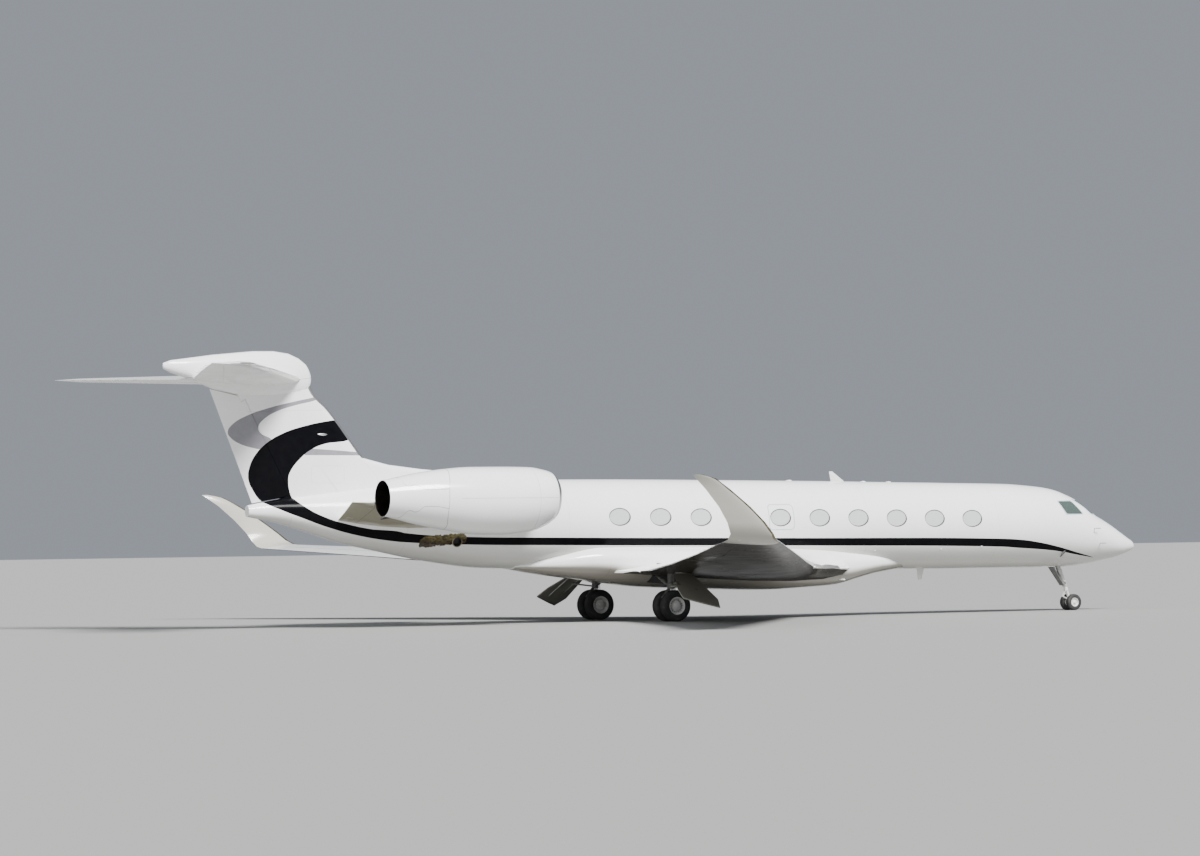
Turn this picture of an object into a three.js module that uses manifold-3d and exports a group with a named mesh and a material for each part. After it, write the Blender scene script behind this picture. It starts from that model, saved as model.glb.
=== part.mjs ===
// Long-cabin twin-engine business jet, parked on its gear. Millimetres, +X forward, +Y to port, +Z up,
// origin on the ground below the middle of the length. A station is a distance aft of the nose tip.
import * as THREE from 'three';
import { mergeVertices } from 'three/addons/utils/BufferGeometryUtils.js';
import Module from 'manifold-3d';

const wasm = await Module();
wasm.setup();

// Driving dimensions
const length = 33480;
const seatGap = 0.3;
const moveGap = 8;
const ringPoints = 32;
const cavityPoints = 20;
const outlineHalf = 9;
const wheelSides = 24;
const barSides = 12;
const thinBarSides = 8;

const fuselageJoints = { radome: 1250, forward: 5900, cabin: 20600, tailEnd: 30040 };
const wall = 110;
const floorHeight = 1800;
const bulkheadThickness = 250;

const cabinWindow = {
  first: 6857, pitch: 1345, count: 10, long: 711, tall: 521, recess: 28, height: 2861, rise: 0.0131,
};
const entryDoor = {
  front: 4150,
  aft: 5100,
  sill: 1852,
  head: 3520,
  openingRadius: 110,
  cornerRadius: 145,
  knuckleRadius: 16,
  knuckleLength: 70,
};
const hingeInset = 140;

const engine = {
  outboard: 2500, height: 3560, ductRadius: 620, fanRadius: 600, fanStation: 22450, blades: 14,
};
const mainGear = {
  station: 17850,
  outboard: 2290,
  wheelOffset: 232,
  axleRadius: 55,
  axleHalf: 330,
  rimRadius: 255,
  tyreRadius: 450,
  tyreWidth: 285,
};
const noseGear = {
  station: 2400,
  wheelOffset: 165,
  axleRadius: 38,
  axleHalf: 220,
  rimRadius: 132,
  tyreRadius: 250,
  tyreWidth: 165,
};
const noseLeg = { topStation: 3000, topHeight: 1715, radius: 72, jointFraction: 0.66, pistonRadius: 50 };

// Fuselage sections: station, crown, keel, half width, height of the widest point
const fuselageTable = [
  [0, 1975, 1925, 25, 1950],
  [60, 2085, 1870, 110, 1968],
  [330, 2240, 1752, 300, 2000],
  [690, 2452, 1640, 490, 2040],
  [1050, 2664, 1568, 645, 2110],
  [1400, 2844, 1512, 775, 2200],
  [1690, 2985, 1460, 870, 2270],
  [1940, 3160, 1428, 940, 2330],
  [2340, 3430, 1378, 1035, 2400],
  [2680, 3582, 1358, 1105, 2450],
  [3180, 3745, 1347, 1190, 2520],
  [3710, 3825, 1346, 1255, 2570],
  [4940, 3915, 1352, 1330, 2620],
  [7000, 3955, 1356, 1350, 2650],
  [9200, 3992, 1382, 1350, 2680],
  [12000, 4041, 1440, 1350, 2720],
  [20200, 4124, 1545, 1350, 2820],
  [22820, 4110, 1612, 1270, 2860],
  [24720, 4050, 1852, 1090, 2960],
  [26040, 3960, 2116, 900, 3060],
  [27280, 3840, 2387, 680, 3150],
  [28510, 3690, 2771, 450, 3240],
  [29210, 3600, 2970, 320, 3290],
  [30040, 3450, 3130, 150, 3290],
];

// Belly fairing sections: station, bottom, half width, top
const fairingTable = [
  [8350, 1425, 300, 1800],
  [9000, 1358, 640, 1850],
  [9460, 1300, 840, 1890],
  [9930, 1225, 1000, 1930],
  [10630, 1070, 1200, 1980],
  [11290, 925, 1350, 2040],
  [12000, 880, 1490, 2090],
  [13540, 825, 1590, 2160],
  [15580, 885, 1610, 2220],
  [17600, 976, 1580, 2260],
  [19450, 1210, 1440, 2280],
  [20880, 1392, 1050, 2000],
  [21900, 1560, 400, 1700],
];

// Wing sections: distance from the centre plane, leading edge, trailing edge, height, thickness ratio
const wingTable = [
  [1150, 11050, 19250, 1440, 0.105],
  [1450, 11330, 19130, 1440, 0.11],
  [1650, 11850, 18980, 1435, 0.115],
  [1950, 12480, 18800, 1435, 0.12],
  [2330, 13000, 18660, 1450, 0.12],
  [5720, 15370, 19810, 1655, 0.11],
  [9770, 18200, 21310, 1930, 0.105],
  [14450, 21480, 23200, 2245, 0.1],
];

// Winglet sections: distance from the centre plane, height, leading edge, trailing edge, cant in degrees
const wingletTable = [
  [14450, 2245, 21480, 23200, 0],
  [14800, 2300, 21790, 23240, 18],
  [15050, 2460, 22020, 23290, 50],
  [15180, 2750, 22340, 23450, 70],
  [15330, 3150, 22860, 23780, 74],
  [15480, 3600, 23540, 24250, 74],
  [15612, 3860, 24010, 24590, 74],
  [15689, 3960, 24430, 24730, 74],
];

// Fin and rudder sections: height, leading edge, trailing edge, thickness ratio
const finTable = [
  [3350, 25250, 29830, 0.085],
  [4750, 26440, 30365, 0.095],
  [6110, 27500, 30898, 0.1],
  [6500, 27915, 31051, 0.1],
  [6690, 28020, 31125, 0.1],
  [7150, 28130, 31250, 0.1],
];

// Dorsal ridge sections: station, crown, half thickness
const dorsalTable = [
  [20900, 4110, 30],
  [22500, 4262, 90],
  [24680, 4444, 150],
  [25700, 4570, 170],
  [26440, 4755, 175],
  [27300, 5250, 150],
];

// Bullet fairing sections: station, top, bottom, half width
const bulletTable = [
  [28060, 7100, 6850, 30],
  [28135, 7267, 6700, 110],
  [28220, 7395, 6600, 150],
  [28430, 7554, 6500, 200],
  [28740, 7686, 6440, 250],
  [29200, 7750, 6410, 280],
  [29800, 7743, 6440, 285],
  [30300, 7700, 6500, 280],
  [31040, 7632, 6680, 250],
  [31660, 7550, 6930, 200],
  [32280, 7470, 7120, 130],
  [32500, 7390, 7230, 45],
];

// Stabilizer sections: distance from the centre plane, leading edge, trailing edge, height, thickness ratio
const stabilizerTable = [
  [60, 28360, 31640, 6955, 0.1],
  [2800, 30250, 32560, 7045, 0.095],
  [5480, 32160, 33410, 7130, 0.09],
  [5690, 32560, 33480, 7137, 0.05],
];

// Nacelle sections: station, radius, height of the centre
const nacelleTable = [
  [21765, 572, 3605],
  [21795, 635, 3602],
  [21910, 718, 3590],
  [22090, 795, 3565],
  [22540, 905, 3530],
  [23430, 950, 3500],
  [24310, 940, 3508],
  [25180, 850, 3545],
  [26040, 715, 3572],
  [26830, 545, 3590],
  [27060, 503, 3588],
];

// Duct through the nacelle: station, radius, height of the centre
const ductTable = [
  [21600, 575, 3605],
  [21765, 570, 3605],
  [21805, 548, 3602],
  [22020, 552, 3585],
  [22300, engine.ductRadius, engine.height],
  [26050, engine.ductRadius, engine.height],
  [26500, 560, 3572],
  [27160, 488, 3588],
];

const xOf = (station) => length / 2 - station;

function material(color, roughness, metalness) {
  return new THREE.MeshStandardMaterial({ color, roughness, metalness });
}

const whitePaint = material(0xf2f2f0, 0.25, 0.1);
const greyPaint = material(0x9a968c, 0.4, 0.2);
const silverPaint = material(0x8b8993, 0.35, 0.5);
const bareMetal = material(0xc9ccd0, 0.25, 1);
const darkMetal = material(0x4a4744, 0.5, 0.8);
const glass = material(0x2e3a40, 0.08, 0);
const rubber = material(0x17171a, 0.85, 0);
const rimPaint = material(0xb9b9b6, 0.45, 0.4);
const gearPaint = material(0xd9d9d6, 0.4, 0.2);
const trimPlastic = material(0x3a3c40, 0.6, 0);
const seatLeather = material(0x6f6558, 0.7, 0);

const model = new THREE.Group();

function addNode(name, geometry, finish) {
  const mesh = new THREE.Mesh(geometry, finish);
  mesh.name = name;
  model.add(mesh);
}

// Solids and geometry
function signedVolume(geometry) {
  const position = geometry.attributes.position;
  const index = geometry.index;
  const corner = [0, 1, 2].map(() => new THREE.Vector3());
  let volume = 0;
  for (let i = 0; i < index.count; i += 3) {
    corner.forEach((point, k) => point.fromBufferAttribute(position, index.getX(i + k)));
    volume += corner[0].dot(corner[1].cross(corner[2])) / 6;
  }
  return volume;
}

function turnOutward(geometry) {
  if (signedVolume(geometry) < 0) {
    const array = geometry.index.array;
    for (let i = 0; i < array.length; i += 3) {
      [array[i], array[i + 1]] = [array[i + 1], array[i]];
    }
  }
  return geometry;
}

function toSolid(source) {
  const plain = source.clone();
  plain.deleteAttribute('normal');
  plain.deleteAttribute('uv');
  const merged = turnOutward(mergeVertices(plain, 0.001));
  const mesh = new wasm.Mesh({
    numProp: 3,
    vertProperties: new Float32Array(merged.attributes.position.array),
    triVerts: new Uint32Array(merged.index.array),
  });
  return new wasm.Manifold(mesh);
}

function toGeometry(solid) {
  const mesh = solid.getMesh();
  const geometry = new THREE.BufferGeometry();
  geometry.setAttribute('position', new THREE.BufferAttribute(mesh.vertProperties, mesh.numProp));
  geometry.setIndex(new THREE.BufferAttribute(mesh.triVerts, 1));
  return geometry;
}

// A closed skin over a row of rings with equal numbers of points, capped at both ends. The two sides
// of the centre plane are split alike, so that a symmetric body stays symmetric.
function loft(rings) {
  const count = rings[0].length;
  const positions = rings.flat(2);
  const index = [];
  for (let i = 0; i + 1 < rings.length; i += 1) {
    for (let j = 0; j < count; j += 1) {
      const next = (j + 1) % count;
      const [a, b] = [i * count + j, i * count + next];
      const port = rings[i][j][1] + rings[i][next][1] >= 0;
      if (port) {
        index.push(a, b, b + count, a, b + count, a + count);
      } else {
        index.push(a, b, a + count, b, b + count, a + count);
      }
    }
  }
  [0, rings.length - 1].forEach((row) => {
    const centre = positions.length / 3;
    const ring = rings[row];
    const mean = (axis) => ring.reduce((sum, point) => sum + point[axis], 0) / count;
    positions.push(mean(0), mean(1), mean(2));
    for (let j = 0; j < count; j += 1) {
      const [a, b] = [row * count + j, row * count + ((j + 1) % count)];
      index.push(...(row === 0 ? [b, a, centre] : [a, b, centre]));
    }
  });
  const geometry = new THREE.BufferGeometry();
  geometry.setAttribute('position', new THREE.Float32BufferAttribute(positions, 3));
  geometry.setIndex(index);
  return toSolid(geometry);
}

function mirrored(solid) {
  const geometry = toGeometry(solid);
  geometry.scale(1, -1, 1);
  return toSolid(geometry);
}

function box(low, high) {
  const size = high.map((value, axis) => value - low[axis]);
  const geometry = new THREE.BoxGeometry(...size);
  geometry.translate(...high.map((value, axis) => (value + low[axis]) / 2));
  return toSolid(geometry);
}

// A round bar between two points, its radius given at each end
function bar(from, to, radius, endRadius = radius, sides = barSides) {
  const start = new THREE.Vector3(...from);
  const end = new THREE.Vector3(...to);
  const geometry = new THREE.CylinderGeometry(endRadius, radius, start.distanceTo(end), sides);
  const direction = end.clone().sub(start).normalize();
  const turn = new THREE.Quaternion().setFromUnitVectors(new THREE.Vector3(0, 1, 0), direction);
  geometry.applyQuaternion(turn);
  geometry.translate(...start.add(end).multiplyScalar(0.5).toArray());
  return toSolid(geometry);
}

// A lathe about an axis along Y or X through a centre, from a profile of [radius, along] pairs
function turned(profile, centre, axis, segments, firstAngle = 0) {
  const points = profile.map(([radius, along]) => new THREE.Vector2(radius, along));
  const geometry = new THREE.LatheGeometry(points, segments, firstAngle);
  if (axis === 'x') {
    geometry.rotateZ(-Math.PI / 2);
  }
  geometry.translate(...centre);
  return toSolid(geometry);
}

// An outline drawn across station and height, extruded between two distances from the centre plane
function sidePrism(shape, inner, outer, curveSegments = 2) {
  const options = { depth: outer - inner, bevelEnabled: false, curveSegments };
  const geometry = new THREE.ExtrudeGeometry(shape, options);
  geometry.rotateX(Math.PI / 2);
  geometry.translate(0, outer, 0);
  return toSolid(geometry);
}

function polygon(points) {
  return new THREE.Shape(points.map(([u, v]) => new THREE.Vector2(u, v)));
}

function roundedRectangle(left, bottom, right, top, radius) {
  const shape = new THREE.Shape();
  shape.moveTo(left + radius, bottom);
  shape.lineTo(right - radius, bottom);
  shape.absarc(right - radius, bottom + radius, radius, -Math.PI / 2, 0);
  shape.lineTo(right, top - radius);
  shape.absarc(right - radius, top - radius, radius, 0, Math.PI / 2);
  shape.lineTo(left + radius, top);
  shape.absarc(left + radius, top - radius, radius, Math.PI / 2, Math.PI);
  shape.lineTo(left, bottom + radius);
  shape.absarc(left + radius, bottom + radius, radius, Math.PI, Math.PI * 1.5);
  return shape;
}

// Smooth values between a table's rows, with no overshoot
function slopeAt(table, row, column) {
  const rise = (i) => (table[i + 1][column] - table[i][column]) / (table[i + 1][0] - table[i][0]);
  if (row === 0) {
    return rise(0);
  }
  if (row === table.length - 1) {
    return rise(row - 1);
  }
  const [before, after] = [rise(row - 1), rise(row)];
  return before * after <= 0 ? 0 : (2 * before * after) / (before + after);
}

function rowAt(table, key) {
  let row = 0;
  while (row < table.length - 2 && table[row + 1][0] < key) {
    row += 1;
  }
  const span = table[row + 1][0] - table[row][0];
  const t = (key - table[row][0]) / span;
  return table[row].map((value, column) => {
    const end = table[row + 1][column];
    const startSlope = slopeAt(table, row, column) * span;
    const endSlope = slopeAt(table, row + 1, column) * span;
    return value * (1 + 2 * t) * (1 - t) ** 2 + startSlope * t * (1 - t) ** 2
      + end * t * t * (3 - 2 * t) + endSlope * t * t * (t - 1);
  });
}

// Two limits with the table's own keys between them
function keysBetween(table, from, to) {
  return [from, ...table.map((row) => row[0]).filter((key) => key > from && key < to), to];
}

// Fuselage
function fuselageRing(station, grow, count) {
  const [, crown, keel, half, widest] = rowAt(fuselageTable, station);
  return Array.from({ length: count }, (_, i) => {
    const angle = (i / count) * Math.PI * 2;
    const rise = Math.sin(angle) * ((Math.sin(angle) > 0 ? crown - widest : widest - keel) + grow);
    return [xOf(station), Math.cos(angle) * (half + grow), widest + rise];
  });
}

// Every piece of the fuselage has rings at the same stations, so that neighbours share one surface
const ringStations = [...fuselageTable.map((row) => row[0]), ...Object.values(fuselageJoints)]
  .sort((a, b) => a - b)
  .map((station) => [station]);

function fuselageSolid(from, to, grow = 0, count = ringPoints) {
  return loft(keysBetween(ringStations, from, to).map((station) => fuselageRing(station, grow, count)));
}

function skinHalfWidth(station, height) {
  const [, crown, keel, half, widest] = rowAt(fuselageTable, station);
  const semi = height > widest ? crown - widest : widest - keel;
  return half * Math.sqrt(1 - ((height - widest) / semi) ** 2);
}

const wholeFuselage = fuselageSolid(0, fuselageJoints.tailEnd, seatGap);

// Side and front cockpit windows: corners as [station, height] and as [distance from centre, height]
const sideWindowCorners = [[3410, 3360], [2850, 3362], [2550, 2975], [3205, 2975]];
const windshieldCorners = [[45, 2990], [730, 2960], [600, 3395], [45, 3425]];
const glassThickness = 30;

// The same outline with every edge moved inwards
function inset(corners, amount) {
  const points = corners.map(([u, v]) => new THREE.Vector2(u, v));
  const inward = THREE.ShapeUtils.area(points) > 0 ? 1 : -1;
  const normals = points.map((point, i) => {
    const edge = points[(i + 1) % points.length].clone().sub(point).normalize();
    return new THREE.Vector2(-edge.y * inward, edge.x * inward);
  });
  return points.map((point, i) => {
    const before = normals[(i + normals.length - 1) % normals.length];
    const after = normals[i];
    const move = before.clone().add(after).multiplyScalar(amount / (1 + before.dot(after)));
    return point.add(move).toArray();
  });
}

function sideWindowPrism(amount) {
  const corners = inset(sideWindowCorners, amount).map(([station, height]) => [xOf(station), height]);
  return sidePrism(polygon(corners), 300, 1500);
}

function windshieldPrism(amount) {
  const outline = polygon(inset(windshieldCorners, amount));
  const geometry = new THREE.ExtrudeGeometry(outline, { depth: 1600, bevelEnabled: false });
  geometry.rotateX(Math.PI / 2);
  geometry.rotateZ(Math.PI / 2);
  geometry.translate(xOf(3000), 0, 0);
  return toSolid(geometry);
}

function doorPrism(amount, radius) {
  const shape = roundedRectangle(
    xOf(entryDoor.aft) + amount,
    entryDoor.sill + amount,
    xOf(entryDoor.front) - amount,
    entryDoor.head - amount,
    radius,
  );
  return sidePrism(shape, 500, 1600);
}

const hingeY = skinHalfWidth(entryDoor.aft, entryDoor.sill) + 2;
const hingeHeight = entryDoor.sill + moveGap;
const hingePlaces = [entryDoor.front + hingeInset, entryDoor.aft - hingeInset];

function hingeBar(station, halfLength, radius) {
  const start = [xOf(station) - halfLength, hingeY, hingeHeight];
  return bar(start, [xOf(station) + halfLength, hingeY, hingeHeight], radius);
}

const forwardOuter = fuselageSolid(fuselageJoints.radome + seatGap, fuselageJoints.forward);
const cavityFront = fuselageJoints.radome + bulkheadThickness;
const cavity = fuselageSolid(cavityFront, fuselageJoints.forward + 50, -wall, cavityPoints)
  .intersect(box([xOf(6000), -2000, floorHeight], [xOf(1000), 2000, 4000]));
const glassSkin = fuselageSolid(fuselageJoints.radome, fuselageJoints.forward, 0)
  .subtract(fuselageSolid(fuselageJoints.radome - 50, fuselageJoints.forward + 50, -glassThickness));
const shell = forwardOuter.subtract(cavity);
const wellTop = 1730;
const wellHalf = 260;
const noseWell = box([xOf(3560), -wellHalf, 1200], [xOf(2700), wellHalf, wellTop]);

let forwardFuselage = shell
  .subtract(doorPrism(0, entryDoor.openingRadius))
  .subtract(noseWell);
[sideWindowPrism(0), windshieldPrism(0)].forEach((prism) => {
  forwardFuselage = forwardFuselage.subtract(prism).subtract(mirrored(prism));
});

let door = shell.intersect(doorPrism(moveGap, entryDoor.cornerRadius));
hingePlaces.forEach((station) => {
  const { knuckleLength, knuckleRadius } = entryDoor;
  door = door.subtract(hingeBar(station, knuckleLength * 1.5 + moveGap, knuckleRadius + moveGap));
  const knuckleRoom = hingeBar(station, knuckleLength / 2 + 0.4, knuckleRadius + moveGap);
  forwardFuselage = forwardFuselage.subtract(knuckleRoom);
  const knuckleArm = box(
    [xOf(station) - knuckleLength / 2, hingeY - 60, hingeHeight + knuckleRadius * 0.2],
    [xOf(station) + knuckleLength / 2, hingeY, hingeHeight + knuckleRadius + moveGap * 2],
  );
  door = door.add(hingeBar(station, knuckleLength / 2, knuckleRadius)).add(knuckleArm);
  [-1, 1].forEach((side) => {
    const lugStation = station + side * (knuckleLength + 0.4);
    const lugArm = box(
      [xOf(lugStation) - knuckleLength / 2, hingeY - 60, hingeHeight - knuckleRadius - 20],
      [xOf(lugStation) + knuckleLength / 2, hingeY, hingeHeight - moveGap],
    );
    const lug = hingeBar(lugStation, knuckleLength / 2, knuckleRadius);
    forwardFuselage = forwardFuselage.add(lug).add(lugArm);
  });
});

const sideGlass = glassSkin.intersect(sideWindowPrism(seatGap));
const frontGlass = glassSkin.intersect(windshieldPrism(seatGap));

function ovalShape(centreX, centreZ, long, tall) {
  const shape = new THREE.Shape();
  shape.absellipse(centreX, centreZ, long / 2, tall / 2, 0, Math.PI * 2);
  return shape;
}

let cabinFuselage = fuselageSolid(fuselageJoints.forward + seatGap, fuselageJoints.cabin);
for (let i = 0; i < cabinWindow.count; i += 1) {
  const station = cabinWindow.first + i * cabinWindow.pitch;
  const height = cabinWindow.height + (station - cabinWindow.first) * cabinWindow.rise;
  const inner = skinHalfWidth(station, height) - cabinWindow.recess;
  const outline = ovalShape(xOf(station), height, cabinWindow.long, cabinWindow.tall);
  const oval = sidePrism(outline, inner, 1600, 6);
  cabinFuselage = cabinFuselage.subtract(oval).subtract(mirrored(oval));
}

const aftFuselage = fuselageSolid(fuselageJoints.cabin + seatGap, fuselageJoints.tailEnd);

// Belly fairing: rounded box sections, open where the fuselage passes through
const fairingPower = 2 / 2.6;

function fairingRing(station, grow) {
  const [, bottom, half, top] = rowAt(fairingTable, station);
  return Array.from({ length: ringPoints }, (_, i) => {
    const angle = (i / ringPoints) * Math.PI * 2;
    const [across, upward] = [Math.cos(angle), Math.sin(angle)]
      .map((value) => Math.sign(value) * Math.abs(value) ** fairingPower);
    const tall = (top - bottom) / 2 + grow;
    return [xOf(station), across * (half + grow), (top + bottom) / 2 + upward * tall];
  });
}

function fairingSolid(grow) {
  const [first, last] = [fairingTable[0][0], fairingTable[fairingTable.length - 1][0]];
  return loft(keysBetween(fairingTable, first, last).map((station) => fairingRing(station, grow)));
}

const bellyCutter = fairingSolid(seatGap);

// Aerofoil outline as [along chord, above chord] for a chord of one, from the trailing edge over the top
const trailingThickness = 0.0035;

function aerofoil(thickness, camber) {
  const half = (t) => 5 * thickness
    * (0.2969 * Math.sqrt(t) - 0.126 * t - 0.3516 * t ** 2 + 0.2843 * t ** 3 - 0.1036 * t ** 4);
  const line = (t) => 4 * camber * t * (1 - t);
  const spread = (i) => (1 + Math.cos((i / outlineHalf) * Math.PI)) / 2;
  const upper = Array.from({ length: outlineHalf + 1 }, (_, i) => spread(i))
    .map((t) => [t, line(t) + half(t) + trailingThickness * t]);
  const lower = Array.from({ length: outlineHalf }, (_, i) => spread(outlineHalf - 1 - i))
    .map((t) => [t, line(t) - half(t) - trailingThickness * t]);
  return [...upper, ...lower];
}

// One ring of a flying surface: spread along the chord and lifted along a canted direction
function surfaceRing({ leading, trailing, thickness, camber, place, cant }) {
  const chord = trailing - leading;
  return aerofoil(thickness, camber).map(([t, lift]) => {
    const [y, z] = [place[0] - lift * chord * Math.sin(cant), place[1] + lift * chord * Math.cos(cant)];
    return [xOf(leading + t * chord), y, z];
  });
}

const level = 0;
const upright = -Math.PI / 2;
const wingCamber = 0.012;

function wingSolid(drop = 0) {
  return loft(wingTable.map(([y, leading, trailing, height, thickness]) => surfaceRing({
    leading, trailing, thickness, camber: wingCamber, place: [y, height - drop], cant: level,
  })));
}

function wingletSolid() {
  return loft(wingletTable.map(([y, height, leading, trailing, cant], i) => surfaceRing({
    leading,
    trailing,
    thickness: i === wingletTable.length - 1 ? 0.06 : 0.1,
    camber: wingCamber,
    place: [y + (i === 0 ? seatGap : 0), height],
    cant: THREE.MathUtils.degToRad(cant),
  })));
}

// A movable surface behind a hinge line: its own solid, and the parent with room for its rounded nose.
// The parent carries a pin at each end, which runs in a bore of the surface.
const hingePin = { radius: 14, length: 60, clearance: 0.3 };
const hingedHeight = 1600;

function hingedCut(parent, options) {
  const { inner, outer, innerRadius, outerRadius, reach, turns = true, tall = [0, 0, 1] } = options;
  const { shaped = (block) => block } = options;
  const gap = turns ? moveGap : seatGap;
  const start = new THREE.Vector3(...inner);
  const end = new THREE.Vector3(...outer);
  const along = end.clone().sub(start).normalize();
  const up = new THREE.Vector3(...tall);
  const aft = new THREE.Vector3().crossVectors(along, up).normalize();
  if (aft.x > 0) {
    aft.negate();
  }
  up.crossVectors(aft, along).normalize();
  const span = start.distanceTo(end);
  const region = (grow) => {
    const centre = start.clone().add(end).multiplyScalar(0.5);
    centre.add(aft.clone().multiplyScalar((reach - grow) / 2));
    const block = new THREE.BoxGeometry(reach + grow, span + grow * 2, hingedHeight);
    const basis = new THREE.Matrix4().makeBasis(aft, along, new THREE.Vector3().crossVectors(aft, along));
    block.applyMatrix4(basis.setPosition(centre));
    return shaped(toSolid(block), grow);
  };
  const cone = (grow, endGap) => {
    const stretch = along.clone().multiplyScalar(endGap);
    const [from, to] = [start.clone().sub(stretch), end.clone().add(stretch)];
    return bar(from.toArray(), to.toArray(), innerRadius + grow, outerRadius + grow, 14);
  };
  let surface = parent.intersect(region(0)).add(cone(-2, 0));
  let rest = parent.subtract(region(gap)).subtract(cone(gap, gap));
  if (turns) {
    const { radius, length: depth, clearance } = hingePin;
    const bore = (radius + clearance) / Math.cos(Math.PI / barSides);
    [[start, 1], [end, -1]].forEach(([tip, direction]) => {
      const step = along.clone().multiplyScalar(direction);
      const place = (distance) => tip.clone().addScaledVector(step, distance).toArray();
      rest = rest.add(bar(place(-gap - depth), place(depth), radius));
      surface = surface.subtract(bar(place(-gap), place(depth + gap), bore));
    });
  }
  return { surface, rest };
}

// The bay that the main leg folds into, open below and ahead of the leg
const gearBay = box([xOf(17720), 1100, 700], [xOf(17150), 2450, 1480]);
const bellyFairing = fairingSolid(0)
  .subtract(wholeFuselage)
  .subtract(gearBay)
  .subtract(mirrored(gearBay));
const uncutWing = wingSolid().subtract(wholeFuselage).subtract(bellyCutter).subtract(gearBay);

// Ailerons: the hinge runs a quarter of the chord ahead of the trailing edge
function wingPoint(y, fraction) {
  const [, leading, trailing, height, thickness] = rowAt(wingTable, y);
  const chord = trailing - leading;
  const upper = aerofoil(thickness, wingCamber).slice(0, outlineHalf + 1).reverse();
  const lower = [upper[0], ...aerofoil(thickness, wingCamber).slice(outlineHalf + 1)];
  const read = (row) => {
    const i = Math.max(1, row.findIndex(([t]) => t >= fraction));
    const share = (fraction - row[i - 1][0]) / (row[i][0] - row[i - 1][0]);
    return row[i - 1][1] + share * (row[i][1] - row[i - 1][1]);
  };
  const [top, bottom] = [read(upper) * chord, read(lower) * chord];
  const point = [xOf(leading + fraction * chord), y, height + (top + bottom) / 2];
  return { point, half: (top - bottom) / 2 };
}

const aileronSpan = { inner: 10150, outer: 13950, hinge: 0.74 };
const aileronInner = wingPoint(aileronSpan.inner, aileronSpan.hinge);
const aileronOuter = wingPoint(aileronSpan.outer, aileronSpan.hinge);
const aileronCut = hingedCut(uncutWing, {
  inner: aileronInner.point,
  outer: aileronOuter.point,
  innerRadius: aileronInner.half,
  outerRadius: aileronOuter.half,
  reach: 1400,
});

const flapSpan = { inner: 2350, outer: 9950, innerHinge: 0.885, outerHinge: 0.76 };
const flapCut = hingedCut(aileronCut.rest, {
  inner: wingPoint(flapSpan.inner, flapSpan.innerHinge).point,
  outer: wingPoint(flapSpan.outer, flapSpan.outerHinge).point,
  innerRadius: 40,
  outerRadius: 20,
  reach: 2400,
  turns: false,
});

const wing = flapCut.rest;
const flap = flapCut.surface;
const aileron = aileronCut.surface;
const winglet = wingletSolid();

// Fin, dorsal ridge and rudder
function finSolid() {
  return loft(finTable.map(([height, leading, trailing, thickness]) => surfaceRing({
    leading, trailing, thickness, camber: 0, place: [0, height], cant: upright,
  })));
}

function dorsalRing(station) {
  const [, crown, half] = rowAt(dorsalTable, station);
  const sides = 8;
  const arc = Array.from({ length: sides + 1 }, (_, i) => (i / sides) * Math.PI)
    .map((angle) => [xOf(station), Math.cos(angle) * half, crown - half + Math.sin(angle) * half]);
  return [[xOf(station), half * 1.3, 3700], ...arc, [xOf(station), -half * 1.3, 3700]];
}

const bulletPoints = 20;

function bulletRing(station, grow) {
  const [, top, bottom, half] = rowAt(bulletTable, station);
  return Array.from({ length: bulletPoints }, (_, i) => {
    const angle = (i / bulletPoints) * Math.PI * 2;
    const rise = Math.sin(angle) * ((top - bottom) / 2 + grow);
    return [xOf(station), Math.cos(angle) * (half + grow), (top + bottom) / 2 + rise];
  });
}

function bulletSolid(grow) {
  const [first, last] = [bulletTable[0][0], bulletTable[bulletTable.length - 1][0]];
  return loft(keysBetween(bulletTable, first, last).map((station) => bulletRing(station, grow)));
}

const bulletCutter = bulletSolid(seatGap);
const dorsal = loft(keysBetween(dorsalTable, 20900, 27300).map(dorsalRing));
const uncutFin = finSolid().add(dorsal).subtract(wholeFuselage).subtract(bulletCutter);
const rudderHinge = {
  low: [xOf(28790), 0, 3760], high: [xOf(30120), 0, 6380], lowRadius: 118, highRadius: 104,
};
const rudderStub = 150;

// Above its hinge the rudder reaches up to the bullet fairing, behind a round stub of the fin
function rudderHead(grow) {
  const { low, high } = rudderHinge;
  const along = new THREE.Vector3(high[0] - low[0], 0, high[2] - low[2]).normalize();
  const aft = new THREE.Vector3(-along.z, 0, along.x);
  const top = new THREE.Vector3(...high);
  const beside = ([back, up]) => top.clone().addScaledVector(aft, back).addScaledVector(along, up);
  const corners = [[0, -50], [1700, -50], [1700, 900], [0, 900]].map(beside);
  const stub = bar(beside([0, -300]).toArray(), beside([0, 1000]).toArray(), rudderStub - grow);
  return sidePrism(polygon(corners.map((corner) => [corner.x, corner.z])), -400, 400).subtract(stub);
}

const rudderCut = hingedCut(uncutFin, {
  inner: rudderHinge.low,
  outer: rudderHinge.high,
  innerRadius: rudderHinge.lowRadius,
  outerRadius: rudderHinge.highRadius,
  reach: 1700,
  tall: [0, 1, 0],
  shaped: (block, grow) => block.add(rudderHead(grow)),
});

// Flat lower and upper edges of the rudder, as pairs of [station, height]
const rudderSill = [[28000, 3816], [31500, 3258]];
const rudderTop = [[29500, 6305], [31500, 6766]];

function beyond(edge, height) {
  const corners = [...edge, [edge[1][0], height], [edge[0][0], height]];
  return sidePrism(polygon(corners.map(([station, z]) => [xOf(station), z])), -600, 600);
}

const rudder = rudderCut.surface.subtract(beyond(rudderSill, 2500)).subtract(beyond(rudderTop, 8000));

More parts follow.
